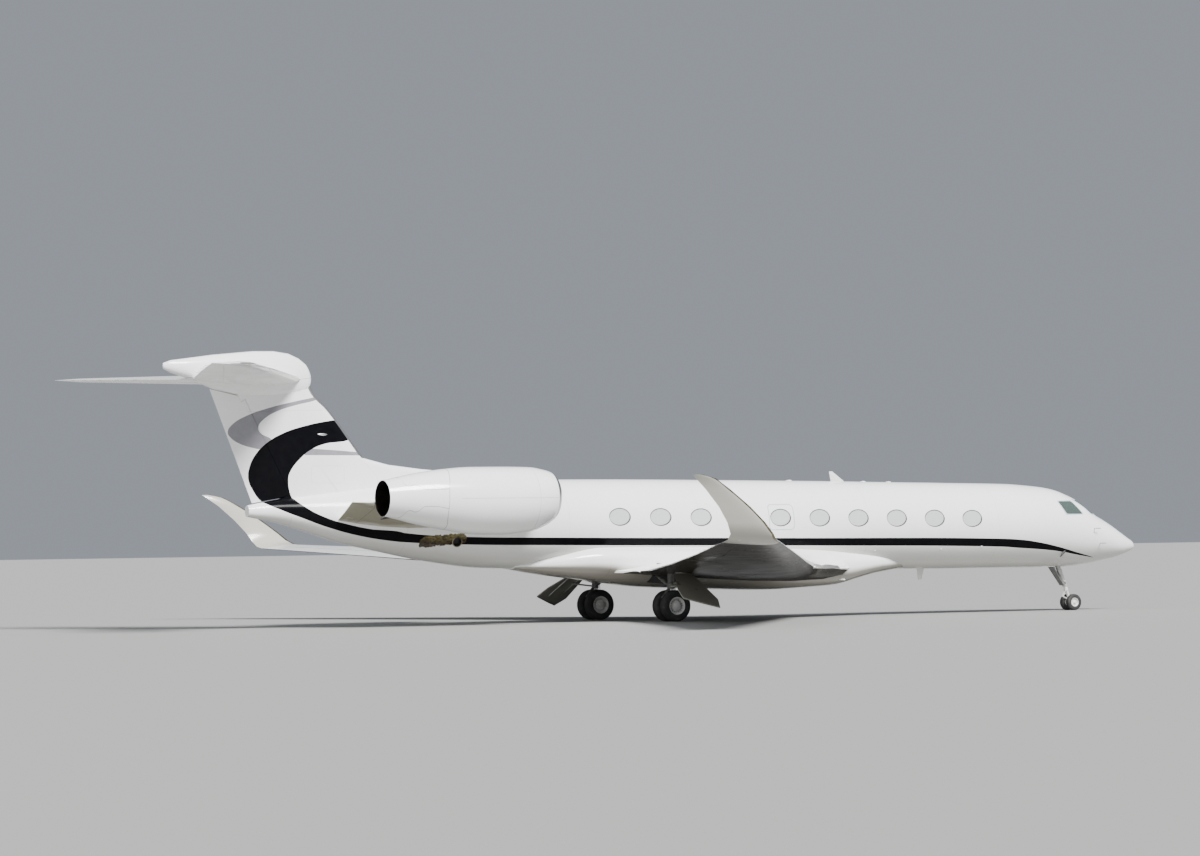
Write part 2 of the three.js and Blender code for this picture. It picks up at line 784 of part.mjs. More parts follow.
// Stabilizer and elevator
const stabilizerRings = stabilizerTable.map(([y, leading, trailing, height, thickness]) => surfaceRing({
  leading, trailing, thickness, camber: 0, place: [y, height], cant: level,
}));
const stabilizerSolid = loft(stabilizerRings).subtract(bulletCutter);
const elevatorEdge = 305;
const edgeRoom = 2.6;
const elevatorCut = hingedCut(stabilizerSolid, {
  inner: [xOf(30879), 360, 6965],
  outer: [xOf(32930), 5150, 7119],
  innerRadius: 97,
  outerRadius: 40,
  reach: 1300,
  shaped: (block, grow) => block.intersect(
    box([-20000, elevatorEdge - grow * edgeRoom, 5000], [0, 9000, 9000]),
  ),
});

// Engines: nacelle with its duct, fan, engine block with its exhaust cone, and pylon
const nacelleSides = 24;

function nacelleRing([station, radius, height], grow) {
  return Array.from({ length: nacelleSides }, (_, i) => {
    const angle = (i / nacelleSides) * Math.PI * 2;
    const y = engine.outboard + Math.cos(angle) * (radius + grow);
    return [xOf(station), y, height + Math.sin(angle) * (radius + grow)];
  });
}

const axleLine = (station) => [xOf(station), engine.outboard, engine.height];
const duct = loft(ductTable.map((row) => nacelleRing(row, 0)));
const nacelleSkin = loft(nacelleTable.map((row) => nacelleRing(row, 0)));
const nacelle = nacelleSkin.subtract(duct);

const blockRadius = engine.ductRadius - seatGap;
const shaft = { radius: 90, front: engine.fanStation + 128 + seatGap };
const engineBlock = turned([
  [0, -shaft.front],
  [shaft.radius, -shaft.front],
  [shaft.radius, -22800],
  [blockRadius, -22800],
  [blockRadius, -25950],
  [330, -25950],
  [250, -26350],
  [90, -26700],
  [0, -26740],
], axleLine(0), 'x', nacelleSides);

const spinnerProfile = [[0, 290], [60, 265], [120, 190], [170, 90], [190, 0], [190, -128], [0, -128]]
  .map(([radius, along]) => [radius, along - engine.fanStation]);
let fan = turned(spinnerProfile, axleLine(0), 'x', barSides);
for (let i = 0; i < engine.blades; i += 1) {
  const blade = new THREE.BoxGeometry(24, 150, engine.fanRadius - 150);
  blade.translate(0, 0, (engine.fanRadius + 150) / 2);
  const position = blade.attributes.position;
  for (let k = 0; k < position.count; k += 1) {
    const turn = THREE.MathUtils.degToRad(28 + 32 * (position.getZ(k) / engine.fanRadius));
    const [x, y, cos, sin] = [position.getX(k), position.getY(k), Math.cos(turn), Math.sin(turn)];
    position.setXY(k, x * cos - y * sin, x * sin + y * cos);
  }
  blade.rotateX((i / engine.blades) * Math.PI * 2);
  blade.translate(xOf(engine.fanStation + 40), engine.outboard, engine.height);
  fan = fan.add(toSolid(blade));
}

// Pylon sections: distance from the centre plane, leading edge, trailing edge, height, thickness ratio
const pylonTable = [
  [500, 22500, 27520, 2985, 0.12],
  [1150, 22700, 27600, 3210, 0.11],
  [1950, 22950, 27730, 3487, 0.1],
];
const pylonCamber = -0.03;
const pylon = loft(pylonTable.map(([y, leading, trailing, height, thickness]) => surfaceRing({
  leading, trailing, thickness, camber: pylonCamber, place: [y, height], cant: level,
}))).subtract(wholeFuselage).subtract(loft(nacelleTable.map((row) => nacelleRing(row, seatGap))));

// Wheels: a rim turned about its axle, and a tyre round it that stands on one of its flats
function wheelParts({ axleRadius, rimRadius, tyreRadius, tyreWidth }, centre) {
  const half = tyreWidth / 2;
  const halfFlat = Math.PI / wheelSides;
  const tread = tyreRadius / Math.cos(halfFlat);
  const bore = (axleRadius + 0.5) / Math.cos(Math.PI / wheelSides);
  const rim = turned([
    [bore, -half * 0.6],
    [rimRadius * 0.82, -half * 0.4],
    [rimRadius * 0.93, -half * 0.86],
    [rimRadius, -half * 0.86],
    [rimRadius, half * 0.86],
    [rimRadius * 0.93, half * 0.86],
    [rimRadius * 0.82, half * 0.4],
    [bore, half * 0.6],
    [bore, -half * 0.6],
  ], centre, 'y', wheelSides, halfFlat);
  const seat = rimRadius + seatGap;
  const crown = tyreRadius - seat;
  const tyre = turned([
    [seat, -half * 0.84],
    [seat + crown * 0.4, -half],
    [seat + crown * 0.82, -half * 0.88],
    [tread, -half * 0.5],
    [tread, half * 0.5],
    [seat + crown * 0.82, half * 0.88],
    [seat + crown * 0.4, half],
    [seat, half * 0.84],
    [seat, -half * 0.84],
  ], centre, 'y', wheelSides, halfFlat);
  return { rim, tyre };
}

// Main gear leg: strut, axle, torque links and side stay, cut off at the wing above it
const axleHeight = mainGear.tyreRadius;
const { station: mainStation, outboard: mainY } = mainGear;
const legPoint = (y, height, aft = 0) => [xOf(mainStation + aft), y, height];
const strut = { radius: 100, top: 1440, bottom: 935, pistonRadius: 68 };
const linkKnee = legPoint(mainY, 700, 290);
const wingUnderside = wingSolid(seatGap);
const axleEnd = (side) => legPoint(mainY + side * mainGear.axleHalf, axleHeight);
const mainAxle = bar(axleEnd(-1), axleEnd(1), mainGear.axleRadius, mainGear.axleRadius, wheelSides);
const mainLeg = bar(legPoint(mainY, strut.top), legPoint(mainY, strut.bottom), strut.radius)
  .add(bar(legPoint(mainY, strut.bottom + 15), legPoint(mainY, axleHeight - 70), strut.pistonRadius))
  .add(mainAxle)
  .add(bar(legPoint(mainY, 960), linkKnee, 32, 26, thinBarSides))
  .add(bar(legPoint(mainY, axleHeight + 90), linkKnee, 32, 26, thinBarSides))
  .add(bar(legPoint(mainY, 1010), legPoint(1400, 1330), 45))
  .subtract(wingUnderside)
  .subtract(bellyCutter);

// Main gear door: a splayed plate outboard of the leg, held by two arms
const doorSlope = 0.5;
const doorCorners = [
  [17640, 3080], [18180, 3080], [18570, 3940], [18680, 4440],
  [18150, 4790], [17800, 5000], [17620, 4570], [17640, 3600],
];
const doorPlateThickness = 36;
const plateHeight = (y) => 1395 - (y - 3080) * doorSlope;
const plateRing = (lift) => doorCorners.map(([station, y]) => [xOf(station), y, plateHeight(y) + lift]);
const mainDoorPlate = loft([plateRing(0), plateRing(-doorPlateThickness)]);
const mainDoor = mainDoorPlate
  .add(bar(legPoint(3350, 1235, -40), legPoint(mainY + 40, 1080, -40), 26, 26, thinBarSides))
  .add(bar(legPoint(3700, 1070, 40), legPoint(mainY + 40, 1000, 40), 26, 26, thinBarSides))
  .subtract(bar(legPoint(mainY, 1700), legPoint(mainY, strut.bottom), strut.radius + seatGap))
  .subtract(wingUnderside);

// Nose gear: raked leg with its door plate, and the steered lower part on the same line
const noseAxle = [xOf(noseGear.station), 0, noseGear.tyreRadius];
const noseTop = [xOf(noseLeg.topStation), 0, noseLeg.topHeight];
const onLeg = (share) => noseTop.map((value, axis) => value + (noseAxle[axis] - value) * share);
const legShare = seatGap / Math.hypot(...noseTop.map((value, axis) => value - noseAxle[axis]));
const noseLegSolid = bar(onLeg(0.008), onLeg(noseLeg.jointFraction), noseLeg.radius)
  .add(bar([xOf(2960), seatGap - wellHalf, 1560], [xOf(2960), wellHalf - seatGap, 1560], 30))
  .subtract(box([xOf(4000), -2000, wellTop - seatGap], [xOf(2000), 2000, 3000]));
const noseAxleEnd = (side) => [noseAxle[0], side * noseGear.axleHalf, noseAxle[2]];
const { axleRadius: noseAxleRadius } = noseGear;
const noseFork = bar(onLeg(noseLeg.jointFraction + legShare), noseAxle, noseLeg.pistonRadius)
  .add(bar(noseAxleEnd(-1), noseAxleEnd(1), noseAxleRadius, noseAxleRadius, wheelSides));

const noseDoorPlate = sidePrism(polygon([
  [xOf(3150), 1352],
  [xOf(3090), 1352],
  [xOf(2658), 770],
  [xOf(2718), 770],
]), -120, 120)
  .add(bar([xOf(2960), 0, 1080], [xOf(2760), 0, 1080], 30))
  .subtract(bar(onLeg(0), onLeg(noseLeg.jointFraction), noseLeg.radius + seatGap))
  .subtract(wholeFuselage.subtract(noseWell));

// Cockpit fittings seen through the glass
const instrumentPanel = box([xOf(2380), -1000, floorHeight + seatGap], [xOf(2180), 1000, 2830])
  .intersect(fuselageSolid(cavityFront, fuselageJoints.forward, -wall - seatGap, cavityPoints));
const seatSolid = box([xOf(3420), 230, floorHeight + seatGap], [xOf(2880), 690, 2320])
  .add(box([xOf(3540), 230, floorHeight + 100], [xOf(3400), 690, 3020]));

// Nodes
addNode('radome', toGeometry(fuselageSolid(0, fuselageJoints.radome)), whitePaint);
addNode('forward_fuselage', toGeometry(forwardFuselage), whitePaint);
addNode('cabin_fuselage', toGeometry(cabinFuselage), whitePaint);
addNode('aft_fuselage', toGeometry(aftFuselage), whitePaint);
addNode('belly_fairing', toGeometry(bellyFairing), whitePaint);
addNode('fin', toGeometry(rudderCut.rest), whitePaint);
addNode('rudder', toGeometry(rudder), whitePaint);
addNode('bullet_fairing', toGeometry(bulletSolid(0)), whitePaint);
addNode('entry_door', toGeometry(door), whitePaint);
addNode('nose_leg', toGeometry(noseLegSolid), gearPaint);
addNode('nose_leg_door', toGeometry(noseDoorPlate), greyPaint);
addNode('nose_fork', toGeometry(noseFork), bareMetal);
addNode('instrument_panel', toGeometry(instrumentPanel), trimPlastic);

const wheelRows = [
  ['main', 'inner', mainGear, [xOf(mainStation), mainY - mainGear.wheelOffset, mainGear.tyreRadius]],
  ['main', 'outer', mainGear, [xOf(mainStation), mainY + mainGear.wheelOffset, mainGear.tyreRadius]],
  ['nose', '', noseGear, [noseAxle[0], noseGear.wheelOffset, noseAxle[2]]],
];

const pairedParts = [
  ['windshield', frontGlass, glass],
  ['side_window', sideGlass, glass],
  ['wing', wing, silverPaint],
  ['winglet', winglet, greyPaint],
  ['flap', flap, silverPaint],
  ['aileron', aileron, silverPaint],
  ['stabilizer', elevatorCut.rest, whitePaint],
  ['elevator', elevatorCut.surface, whitePaint],
  ['nacelle', nacelle, whitePaint],
  ['pylon', pylon, whitePaint],
  ['engine_block', engineBlock, darkMetal],
  ['fan', fan, darkMetal],
  ['main_leg', mainLeg, gearPaint],
  ['main_leg_door', mainDoor, greyPaint],
  ['pilot_seat', seatSolid, seatLeather],
];
wheelRows.forEach(([gear, place, sizes, centre]) => {
  const { rim, tyre } = wheelParts(sizes, centre);
  const ending = place === '' ? '' : `_${place}`;
  pairedParts.push([`${gear}_rim${ending}`, rim, rimPaint], [`${gear}_tyre${ending}`, tyre, rubber]);
});
pairedParts.forEach(([name, solid, finish]) => {
  addNode(`${name}_left`, toGeometry(solid), finish);
  addNode(`${name}_right`, toGeometry(mirrored(solid)), finish);
});

export default model;
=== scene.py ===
import math
from contextlib import contextmanager
import bmesh
import bpy
from mathutils import Matrix, Vector


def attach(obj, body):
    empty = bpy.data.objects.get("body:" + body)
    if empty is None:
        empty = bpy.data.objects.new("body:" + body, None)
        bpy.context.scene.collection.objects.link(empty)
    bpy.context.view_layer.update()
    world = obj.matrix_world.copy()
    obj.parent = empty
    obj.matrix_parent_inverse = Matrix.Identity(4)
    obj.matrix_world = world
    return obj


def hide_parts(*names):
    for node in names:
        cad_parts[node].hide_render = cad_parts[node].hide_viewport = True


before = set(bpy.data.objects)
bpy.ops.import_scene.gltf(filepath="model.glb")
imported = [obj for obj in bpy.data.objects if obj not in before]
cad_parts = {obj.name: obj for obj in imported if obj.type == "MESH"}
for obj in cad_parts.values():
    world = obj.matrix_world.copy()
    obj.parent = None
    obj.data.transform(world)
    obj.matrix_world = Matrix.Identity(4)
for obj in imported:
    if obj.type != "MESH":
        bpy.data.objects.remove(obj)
for startName in ("Cube", "Light", "Camera"):
    if startName in bpy.data.objects:
        bpy.data.objects.remove(bpy.data.objects[startName])
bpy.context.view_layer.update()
noseX = 16.74  # a station is a distance aft of the nose tip
sides = (("left", 1), ("right", -1))
print("stage: frame loaded")


# Camera, floor and light
photoCamera = {"place": (-59.825, -106.466, 2.308), "heading": 28.46, "pitch": 1.564, "roll": 0.785,
               "lens": 125.08,
               "sensor": 36, "clip": (1, 2000)}


def addCamera(view):
    heading, pitch, roll = (math.radians(view[key]) for key in ("heading", "pitch", "roll"))
    ahead = Vector((math.sin(heading) * math.cos(pitch), math.cos(heading) * math.cos(pitch),
                    math.sin(pitch)))
    level = Vector((math.cos(heading), -math.sin(heading), 0))
    lift = level.cross(ahead)
    right = level * math.cos(roll) - lift * math.sin(roll)
    up = level * math.sin(roll) + lift * math.cos(roll)
    data = bpy.data.cameras.new("photo_camera")
    data.lens, data.sensor_width = view["lens"], view["sensor"]
    data.clip_start, data.clip_end = view["clip"]
    camera = bpy.data.objects.new("photo_camera", data)
    bpy.context.scene.collection.objects.link(camera)
    turn = Matrix((right, up, -ahead)).transposed().to_4x4()
    camera.matrix_world = Matrix.Translation(view["place"]) @ turn
    bpy.context.scene.camera = camera


addCamera(photoCamera)

studio = {
    "floorSize": 1600, "floorTone": (0.26, 0.26, 0.25, 1), "floorRoughness": 0.8,
    "worldTone": (0.74, 0.8, 0.9, 1), "worldStrength": 0.42,
    "suns": {"soft_key": {"turn": (40, 0, 6), "strength": 9.5, "angle": 20},
             "soft_fill": {"turn": (66, 0, -60), "strength": 1.1, "angle": 60}},
}


def clearSelection():
    if bpy.context.mode != "OBJECT":
        bpy.ops.object.mode_set(mode="OBJECT")
    bpy.ops.object.select_all(action="DESELECT")


def takeUp(piece):
    clearSelection()
    piece.select_set(True)
    bpy.context.view_layer.objects.active = piece
    return piece


def addFloor():
    clearSelection()
    bpy.ops.mesh.primitive_plane_add(size=studio["floorSize"], location=(0, 0, 0))
    floor = bpy.context.object
    floor.name = "studio_floor"
    paper = bpy.data.materials.new("floor_paper")
    paper.use_nodes = True
    shader = paper.node_tree.nodes["Principled BSDF"]
    shader.inputs["Base Color"].default_value = studio["floorTone"]
    shader.inputs["Roughness"].default_value = studio["floorRoughness"]
    floor.data.materials.append(paper)


def addSun(name, values):
    light = bpy.data.lights.new(name, "SUN")
    light.energy = values["strength"]
    light.angle = math.radians(values["angle"])
    lamp = bpy.data.objects.new(name, light)
    lamp.rotation_euler = [math.radians(turn) for turn in values["turn"]]
    bpy.context.scene.collection.objects.link(lamp)


addFloor()
for name, values in studio["suns"].items():
    addSun(name, values)
world = bpy.data.worlds.new("studio_sky")
world.use_nodes = True
world.node_tree.nodes["Background"].inputs["Color"].default_value = studio["worldTone"]
world.node_tree.nodes["Background"].inputs["Strength"].default_value = studio["worldStrength"]
bpy.context.scene.world = world
print("stage: camera, floor and light")


def feed(value, target):
    if isinstance(value, Wire):
        value.tree.links.new(value.socket, target)
    elif value is not None:
        target.default_value = value


def addNode(tree, kind, inputs, output=0, **settings):
    made = tree.nodes.new("ShaderNode" + kind)
    for key, value in settings.items():
        setattr(made, key, value)
    for key, value in inputs.items():
        feed(value, made.inputs[key])
    return Wire(tree, made.outputs[output])


# A socket of a node tree: each step of arithmetic with it adds a node, and 0 and 1 are the values of a mask
class Wire:
    def __init__(self, tree, socket):
        self.tree, self.socket = tree, socket

    def step(self, operation, other=None, clamp=False):
        return addNode(self.tree, "Math", {0: self, 1: other}, operation=operation, use_clamp=clamp)

    def __add__(self, other):
        return self.step("ADD", other)

    def __sub__(self, other):
        return self.step("SUBTRACT", other)

    def __mul__(self, other):
        return self.step("MULTIPLY", other)

    def __or__(self, other):
        return self.step("MAXIMUM", other)

    def __gt__(self, other):
        return self.step("GREATER_THAN", other)

    def __lt__(self, other):
        return self.step("LESS_THAN", other)

    def __abs__(self):
        return self.step("ABSOLUTE")

    def near(self, target, halfWidth):
        return abs(self - target) < halfWidth

    def within(self, low, high):
        return (self > low) * (self < high)

    def onto(self, low, high, newLow=0.0, newHigh=1.0):
        return addNode(self.tree, "MapRange", dict(enumerate((self, low, high, newLow, newHigh))))

    def mix(self, first, second):
        return addNode(self.tree, "Mix", {0: self, 6: first, 7: second}, 2, data_type="RGBA")

    def blend(self, first, second):
        return addNode(self.tree, "Mix", {0: self, 2: first, 3: second}, data_type="FLOAT")

    def noise(self, scale, detail=3.0, roughness=0.55):
        inputs = {"Vector": self, "Scale": scale, "Detail": detail, "Roughness": roughness}
        return addNode(self.tree, "TexNoise", inputs, "Fac")

    def squeezed(self, scale):
        return addNode(self.tree, "Mapping", {"Vector": self, "Scale": scale})

    def parts(self):
        split = addNode(self.tree, "SeparateXYZ", {0: self})
        return [Wire(self.tree, socket) for socket in split.socket.node.outputs]

    # A smooth line through [key, value] rows, read at this value
    def line(self, rows):
        keys, values = zip(*sorted(rows))
        low, high = min(values), max(values)
        curve = addNode(self.tree, "FloatCurve", {"Value": self.onto(keys[0], keys[-1])})
        mapping = curve.socket.node.mapping
        places = [((key - keys[0]) / (keys[-1] - keys[0]), (item - low) / (high - low))
                  for key, item in zip(keys, values)]
        points = mapping.curves[0].points
        points[0].location, points[1].location = places[0], places[-1]
        for place in places[1:-1]:
            points.new(*place)
        mapping.update()
        return curve.onto(0.0, 1.0, low, high)


# A shared effect: its recipe takes the inputs as wires, and gives the outputs in their order
def newGroup(name, inputs, outputs, recipe):
    group = bpy.data.node_groups.new(name, "ShaderNodeTree")
    for label, value in inputs.items():
        kind = "Vector" if value is None else "Color" if isinstance(value, tuple) else "Float"
        socket = group.interface.new_socket(label, in_out="INPUT", socket_type="NodeSocket" + kind)
        if value is not None:
            socket.default_value = value
    for label in outputs:
        kind = "Color" if label == "Colour" else "Float"
        group.interface.new_socket(label, in_out="OUTPUT", socket_type="NodeSocket" + kind)
    given, out = group.nodes.new("NodeGroupInput").outputs, group.nodes.new("NodeGroupOutput").inputs
    for label, value in zip(outputs, recipe(*[Wire(group, given[key]) for key in inputs])):
        feed(value, out[label])
    return group


def placeGroup(tree, group, **values):
    made = tree.nodes.new("ShaderNodeGroup")
    made.node_tree = group
    for key, value in values.items():
        feed(value, made.inputs[key])
    return {socket.name: Wire(tree, socket) for socket in made.outputs}


def filmRecipe(point, colour, dust, dirt, gloss, peel):
    cloud = point.noise(0.9, 5.0)
    grime = (cloud * point.squeezed((0.35, 3.0, 6.0)).noise(2.2, 4.0)).onto(0.2, 0.5) * dirt
    roughness = gloss.step("ADD", (cloud - 0.5) * 0.16 + grime, True)
    return grime.mix(colour, dust), roughness, point.noise(38.0, 2.0) * peel


def wornRecipe(point, pointiness, start, scale):
    return [pointiness.onto(start, start + 0.08) * point.noise(scale, 6.0, 0.7).onto(0.42, 0.6)]


def brushedRecipe(point, colour, stain, amount, gloss):
    lines = point.squeezed((4.0, 60.0, 60.0)).noise(3.0, 4.0)
    share = point.noise(3.1, 5.0).onto(0.42, 0.7) * amount
    return share.mix(colour, stain), gloss + lines * 0.18, lines


def grainRecipe(point, colour, light, scale, gloss, scuff):
    cells = addNode(point.tree, "TexVoronoi", {"Vector": point, "Scale": scale}, "Distance")
    cloud = point.noise(4.0, 6.0, 0.65)
    return (cloud.onto(0.5, 0.75) * scuff).mix(colour, light), gloss + cloud * 0.1, cells


surfaceOutputs = ("Colour", "Roughness", "Height")
paintFilm = newGroup("paintFilm", {"Point": None, "Colour": (0.8, 0.8, 0.8, 1), "Dust": (0.35, 0.31, 0.26, 1),
                                   "Dirt": 0.1, "Gloss": 0.2, "Peel": 0.1}, surfaceOutputs, filmRecipe)
wornEdge = newGroup("wornEdge", {"Point": None, "Pointiness": 0.5, "Start": 0.52, "Scale": 20.0}, ["Mask"],
                    wornRecipe)
brushedMetal = newGroup("brushedMetal", {"Point": None, "Colour": (0.7, 0.7, 0.7, 1),
                                         "Stain": (0.3, 0.25, 0.2, 1),
                                         "Amount": 0.2, "Gloss": 0.25}, surfaceOutputs, brushedRecipe)
mouldedGrain = newGroup("mouldedGrain", {"Point": None, "Colour": (0.1, 0.1, 0.1, 1),
                                         "Light": (0.3, 0.3, 0.3, 1),
                                         "Scale": 60.0, "Gloss": 0.7, "Scuff": 0.2}, surfaceOutputs,
                                         grainRecipe)
coats = {}  # every material by its name


def newMaterial(name, tone):
    made = bpy.data.materials.new(name)
    made.use_nodes = True
    made.diffuse_color = (*tone[:3], 1)
    coats[name] = made
    return made.node_tree.nodes["Principled BSDF"].inputs, addNode(made.node_tree, "TexCoord", {}, "Object")


def setShader(shader, values, height=None, distance=0.001, strength=1.0):
    for key, value in values.items():
        feed(value, shader[key])
    if height:
        bump = {"Distance": distance, "Strength": strength, "Height": height}
        feed(addNode(height.tree, "Bump", bump), shader["Normal"])


# Livery in metres: each band lies between a low and a high line, from one end to the other. Stripe and bar
# run along x and are measured in z, and the others run along z and are measured in x.
livery = {
    "stripe": {
        "high": [(-9.0, 2.65), (-7.05, 2.5), (-4.15, 2.445), (3.84, 2.341), (10.9, 2.241), (11.6, 2.206),
                 (12.36, 2.116), (13.14, 1.975), (13.98, 1.791), (14.78, 1.632)],
        "low": [(-9.0, 2.385), (-7.0, 2.282), (-4.1, 2.228), (3.9, 2.117), (10.98, 1.995), (11.7, 1.95),
                (12.43, 1.905), (13.19, 1.837), (14.03, 1.717), (14.78, 1.622)],
        "ends": (-9.0, 14.78)},
    "sweep": {
        "low": [(2.38, -8.94), (2.555, -10.07), (2.824, -11.08), (3.068, -11.76), (3.317, -12.41),
                (3.55, -12.87), (3.838, -13.11), (4.219, -13.27), (4.474, -13.24), (4.826, -13.08),
                (5.175, -12.74), (5.46, -12.23), (5.653, -11.61), (5.82, -10.7)],
        "high": [(2.38, -8.9), (2.62, -8.9), (2.743, -9.79), (2.88, -10.46), (3.08, -11.12), (3.373, -11.69),
                 (3.635, -11.97), (3.958, -12.08), (4.212, -12.09), (4.437, -12.0), (4.723, -11.76),
                 (4.993, -11.41), (5.172, -10.92), (5.28, -10.2), (5.82, -10.0)],
        "ends": (2.38, 5.82)},
    "greySweep": {
        "low": [(5.014, -12.98), (5.163, -13.51), (5.336, -13.78), (5.497, -13.86), (5.718, -13.71),
                (5.94, -13.32), (6.165, -12.64), (6.326, -11.95), (6.49, -11.1)],
        "high": [(5.014, -12.8), (5.249, -12.58), (5.462, -12.91), (5.634, -12.97), (5.845, -12.81),
                 (6.057, -12.44), (6.231, -11.88), (6.382, -11.21), (6.49, -10.9)],
        "ends": (5.014, 6.49)},
    "greyBar": {
        "high": [(-11.5, 5.03), (-10.07, 4.934), (-9.8, 4.91)],
        "low": [(-11.6, 4.84), (-9.94, 4.829), (-9.8, 4.826)],
        "ends": (-11.6, -9.8)},
}
# Some tones stand for light, not paint: the belly, underside, winglet, winglet edge, lip foot and recess
# tones are painted shade and painted reflection.
paintTones = {
    "white": (0.87, 0.87, 0.86, 1), "black": (0.002, 0.002, 0.003, 1), "blackWorn": (0.006, 0.006, 0.007, 1),
    "grey": (0.2, 0.195, 0.22, 1), "greyWorn": (0.27, 0.265, 0.285, 1), "dust": (0.42, 0.4, 0.37, 1),
    "metal": (0.72, 0.71, 0.68, 1), "titanium": (0.075, 0.058, 0.034, 1), "scorch": (0.02, 0.015, 0.012, 1),
    "olive": (0.2, 0.17, 0.075, 1), "wingletShadeBeige": (0.43, 0.41, 0.36, 1), "wingletEdgeReflection": (0.22, 0.2, 0.1, 1),
    "wingUndersideShade": (0.024, 0.02, 0.016, 1), "wingUndersideShadeCloud": (0.0408, 0.034, 0.0272, 1),
    "wingAbove": (0.5, 0.5, 0.5, 1),
    "belly": (0.36, 0.335, 0.29, 1), "paleBellyShade": (0.615, 0.6025, 0.575, 1),
    "shadeOlive": (0.3, 0.28, 0.21, 1),
    "frame": (0.5, 0.56, 0.62, 1), "recess": (0.16, 0.165, 0.17, 1), "spinner": (0.04, 0.04, 0.043, 1),
    "lipTop": (0.5, 0.49, 0.47, 1), "lipFootShade": (0.07, 0.065, 0.06, 1), "seam": (0, 0, 0, 1),
}
white = paintTones["white"]


def bandMask(along, across, band):
    above, below = across > along.line(band["low"]), across < along.line(band["high"])
    return above * below * along.within(*band["ends"])


def liveryRecipe(x, z):
    return (bandMask(x, z, livery["stripe"]) | bandMask(z, x, livery["sweep"]),
            bandMask(z, x, livery["greySweep"]) | bandMask(x, z, livery["greyBar"]))


# The outline and the inside of a rounded rectangle, from the distance to it
def frameRecipe(across, up, middleAcross, middleUp, halfAcross, halfUp, corner, line):
    pastAcross = abs(across - middleAcross) - (halfAcross - corner)
    pastUp = abs(up - middleUp) - (halfUp - corner)
    squares = (pastAcross | 0.0).step("POWER", 2.0) + (pastUp | 0.0).step("POWER", 2.0)
    gap = squares.step("SQRT") + (pastAcross | pastUp).step("MINIMUM", 0.0) - corner
    return abs(gap) < line, gap < 0.0


liveryMasks = newGroup("liveryMasks", {"X": 0.0, "Z": 0.0}, ("Black", "Grey"), liveryRecipe)
roundedFrame = newGroup("roundedFrame", {
    "Across": 0.0, "Up": 0.0, "MiddleAcross": 0.0, "MiddleUp": 0.0, "HalfAcross": 0.3, "HalfUp": 0.3,
    "Corner": 0.05,
    "Line": 0.01}, ("Line", "Inside"), frameRecipe)


def frameLine(across, up, middle, half, corner=0.05, line=0.006):
    return placeGroup(across.tree, roundedFrame, Across=across, Up=up, MiddleAcross=middle[0],
                      MiddleUp=middle[1], HalfAcross=half[0], HalfUp=half[1], Corner=corner, Line=line)


# Heat stains round the starboard outlet
heatLook = {"specks": (0.44, 0.58), "low": (2.68, 2.5)}


def heatStain(point, z):
    specks = point.squeezed((0.5, 1.0, 1.0)).noise(16.0, 5.0, 0.75).onto(*heatLook["specks"])
    low = (z + point.noise(3.0, 4.0) * 0.3).onto(*heatLook["low"])
    return low.mix(specks.mix(paintTones["olive"], paintTones["titanium"]),
                   specks.mix(paintTones["titanium"], paintTones["scorch"]))


# Glossy aircraft paint: the masks choose the coat, the seams darken it, metal shows where it is bare
def paintedSkin(name, tone, makeMasks=None, dirt=0.1, gloss=0.16, coat=0.3, seam=0.65, specular=0.35):
    shader, point = newMaterial(name, tone)
    tree, (x, y, z) = point.tree, point.parts()
    masks = makeMasks(point, x, y, z) if makeMasks else {}
    film = placeGroup(tree, paintFilm, Point=point, Colour=masks.get("base", tone), Dust=paintTones["dust"],
                      Dirt=dirt, Gloss=gloss)
    colour, height = film["Colour"], film["Height"]
    values = {"Roughness": film["Roughness"], "Coat Weight": coat, "Coat Roughness": 0.06,
              "Specular IOR Level": specular}
    if "grey" in masks:
        for key in ("grey", "black"):
            worn = point.noise(5.0, 4.0).mix(paintTones[key], paintTones[key + "Worn"])
            colour = masks[key].mix(colour, worn)
        values["Coat Weight"] = masks["black"].blend(coat, 0.01)
        values["Specular IOR Level"] = masks["black"].blend(specular, 0.04)
    if "bare" in masks:
        bareTone = masks.get("bareTone", paintTones["metal"])
        brushed = placeGroup(tree, brushedMetal, Point=point, Colour=bareTone, Stain=paintTones["dust"])
        colour = masks["bare"].mix(colour, brushed["Colour"])
        values["Roughness"] = masks["bare"].blend(film["Roughness"], brushed["Roughness"])
        values["Metallic"] = masks["bare"]
    if "burnt" in masks:
        colour = masks["burnt"].mix(colour, heatStain(point, z))
    if "seam" in masks:
        colour = (masks["seam"] * (seam * 0.8)).mix(colour, paintTones["seam"])
        height = height - masks["seam"] * (seam * 2)
    if "pale" in masks:
        colour = masks["pale"].mix(colour, paintTones["frame"])
    setShader(shader, {"Base Color": colour, **values}, height, 0.0015, 0.5)


def facingUp(tree):
    return addNode(tree, "NewGeometry", {}, "Normal").parts()[2]


# Painted shade: faces turned downwards take the darker shade tone in place of white.
def shadedBelow(tree, shade, level):
    return facingUp(tree).onto(level, level - 0.5).mix(white, shade)


def anyOf(masks):
    result = masks[0]
    for mask in masks[1:]:
        result = result | mask
    return result


def seamsAt(value, places, halfWidth):
    return [value.near(place, halfWidth) for place in places]


fuselageLook = {
    "seams": (10.84, 6.2, 0.4, -3.86, -8.8, -12.1), "exit": ((3.19, 2.961), (0.424, 0.369), 0.11, 0.016),
    "baggageDoor": ((-6.4, 2.75), (0.52, 0.4), 0.08), "outlet": (-7.305, 2.359),
    "stain": ((-7.72, 2.59), (0.68, 0.15), 0.14),
}


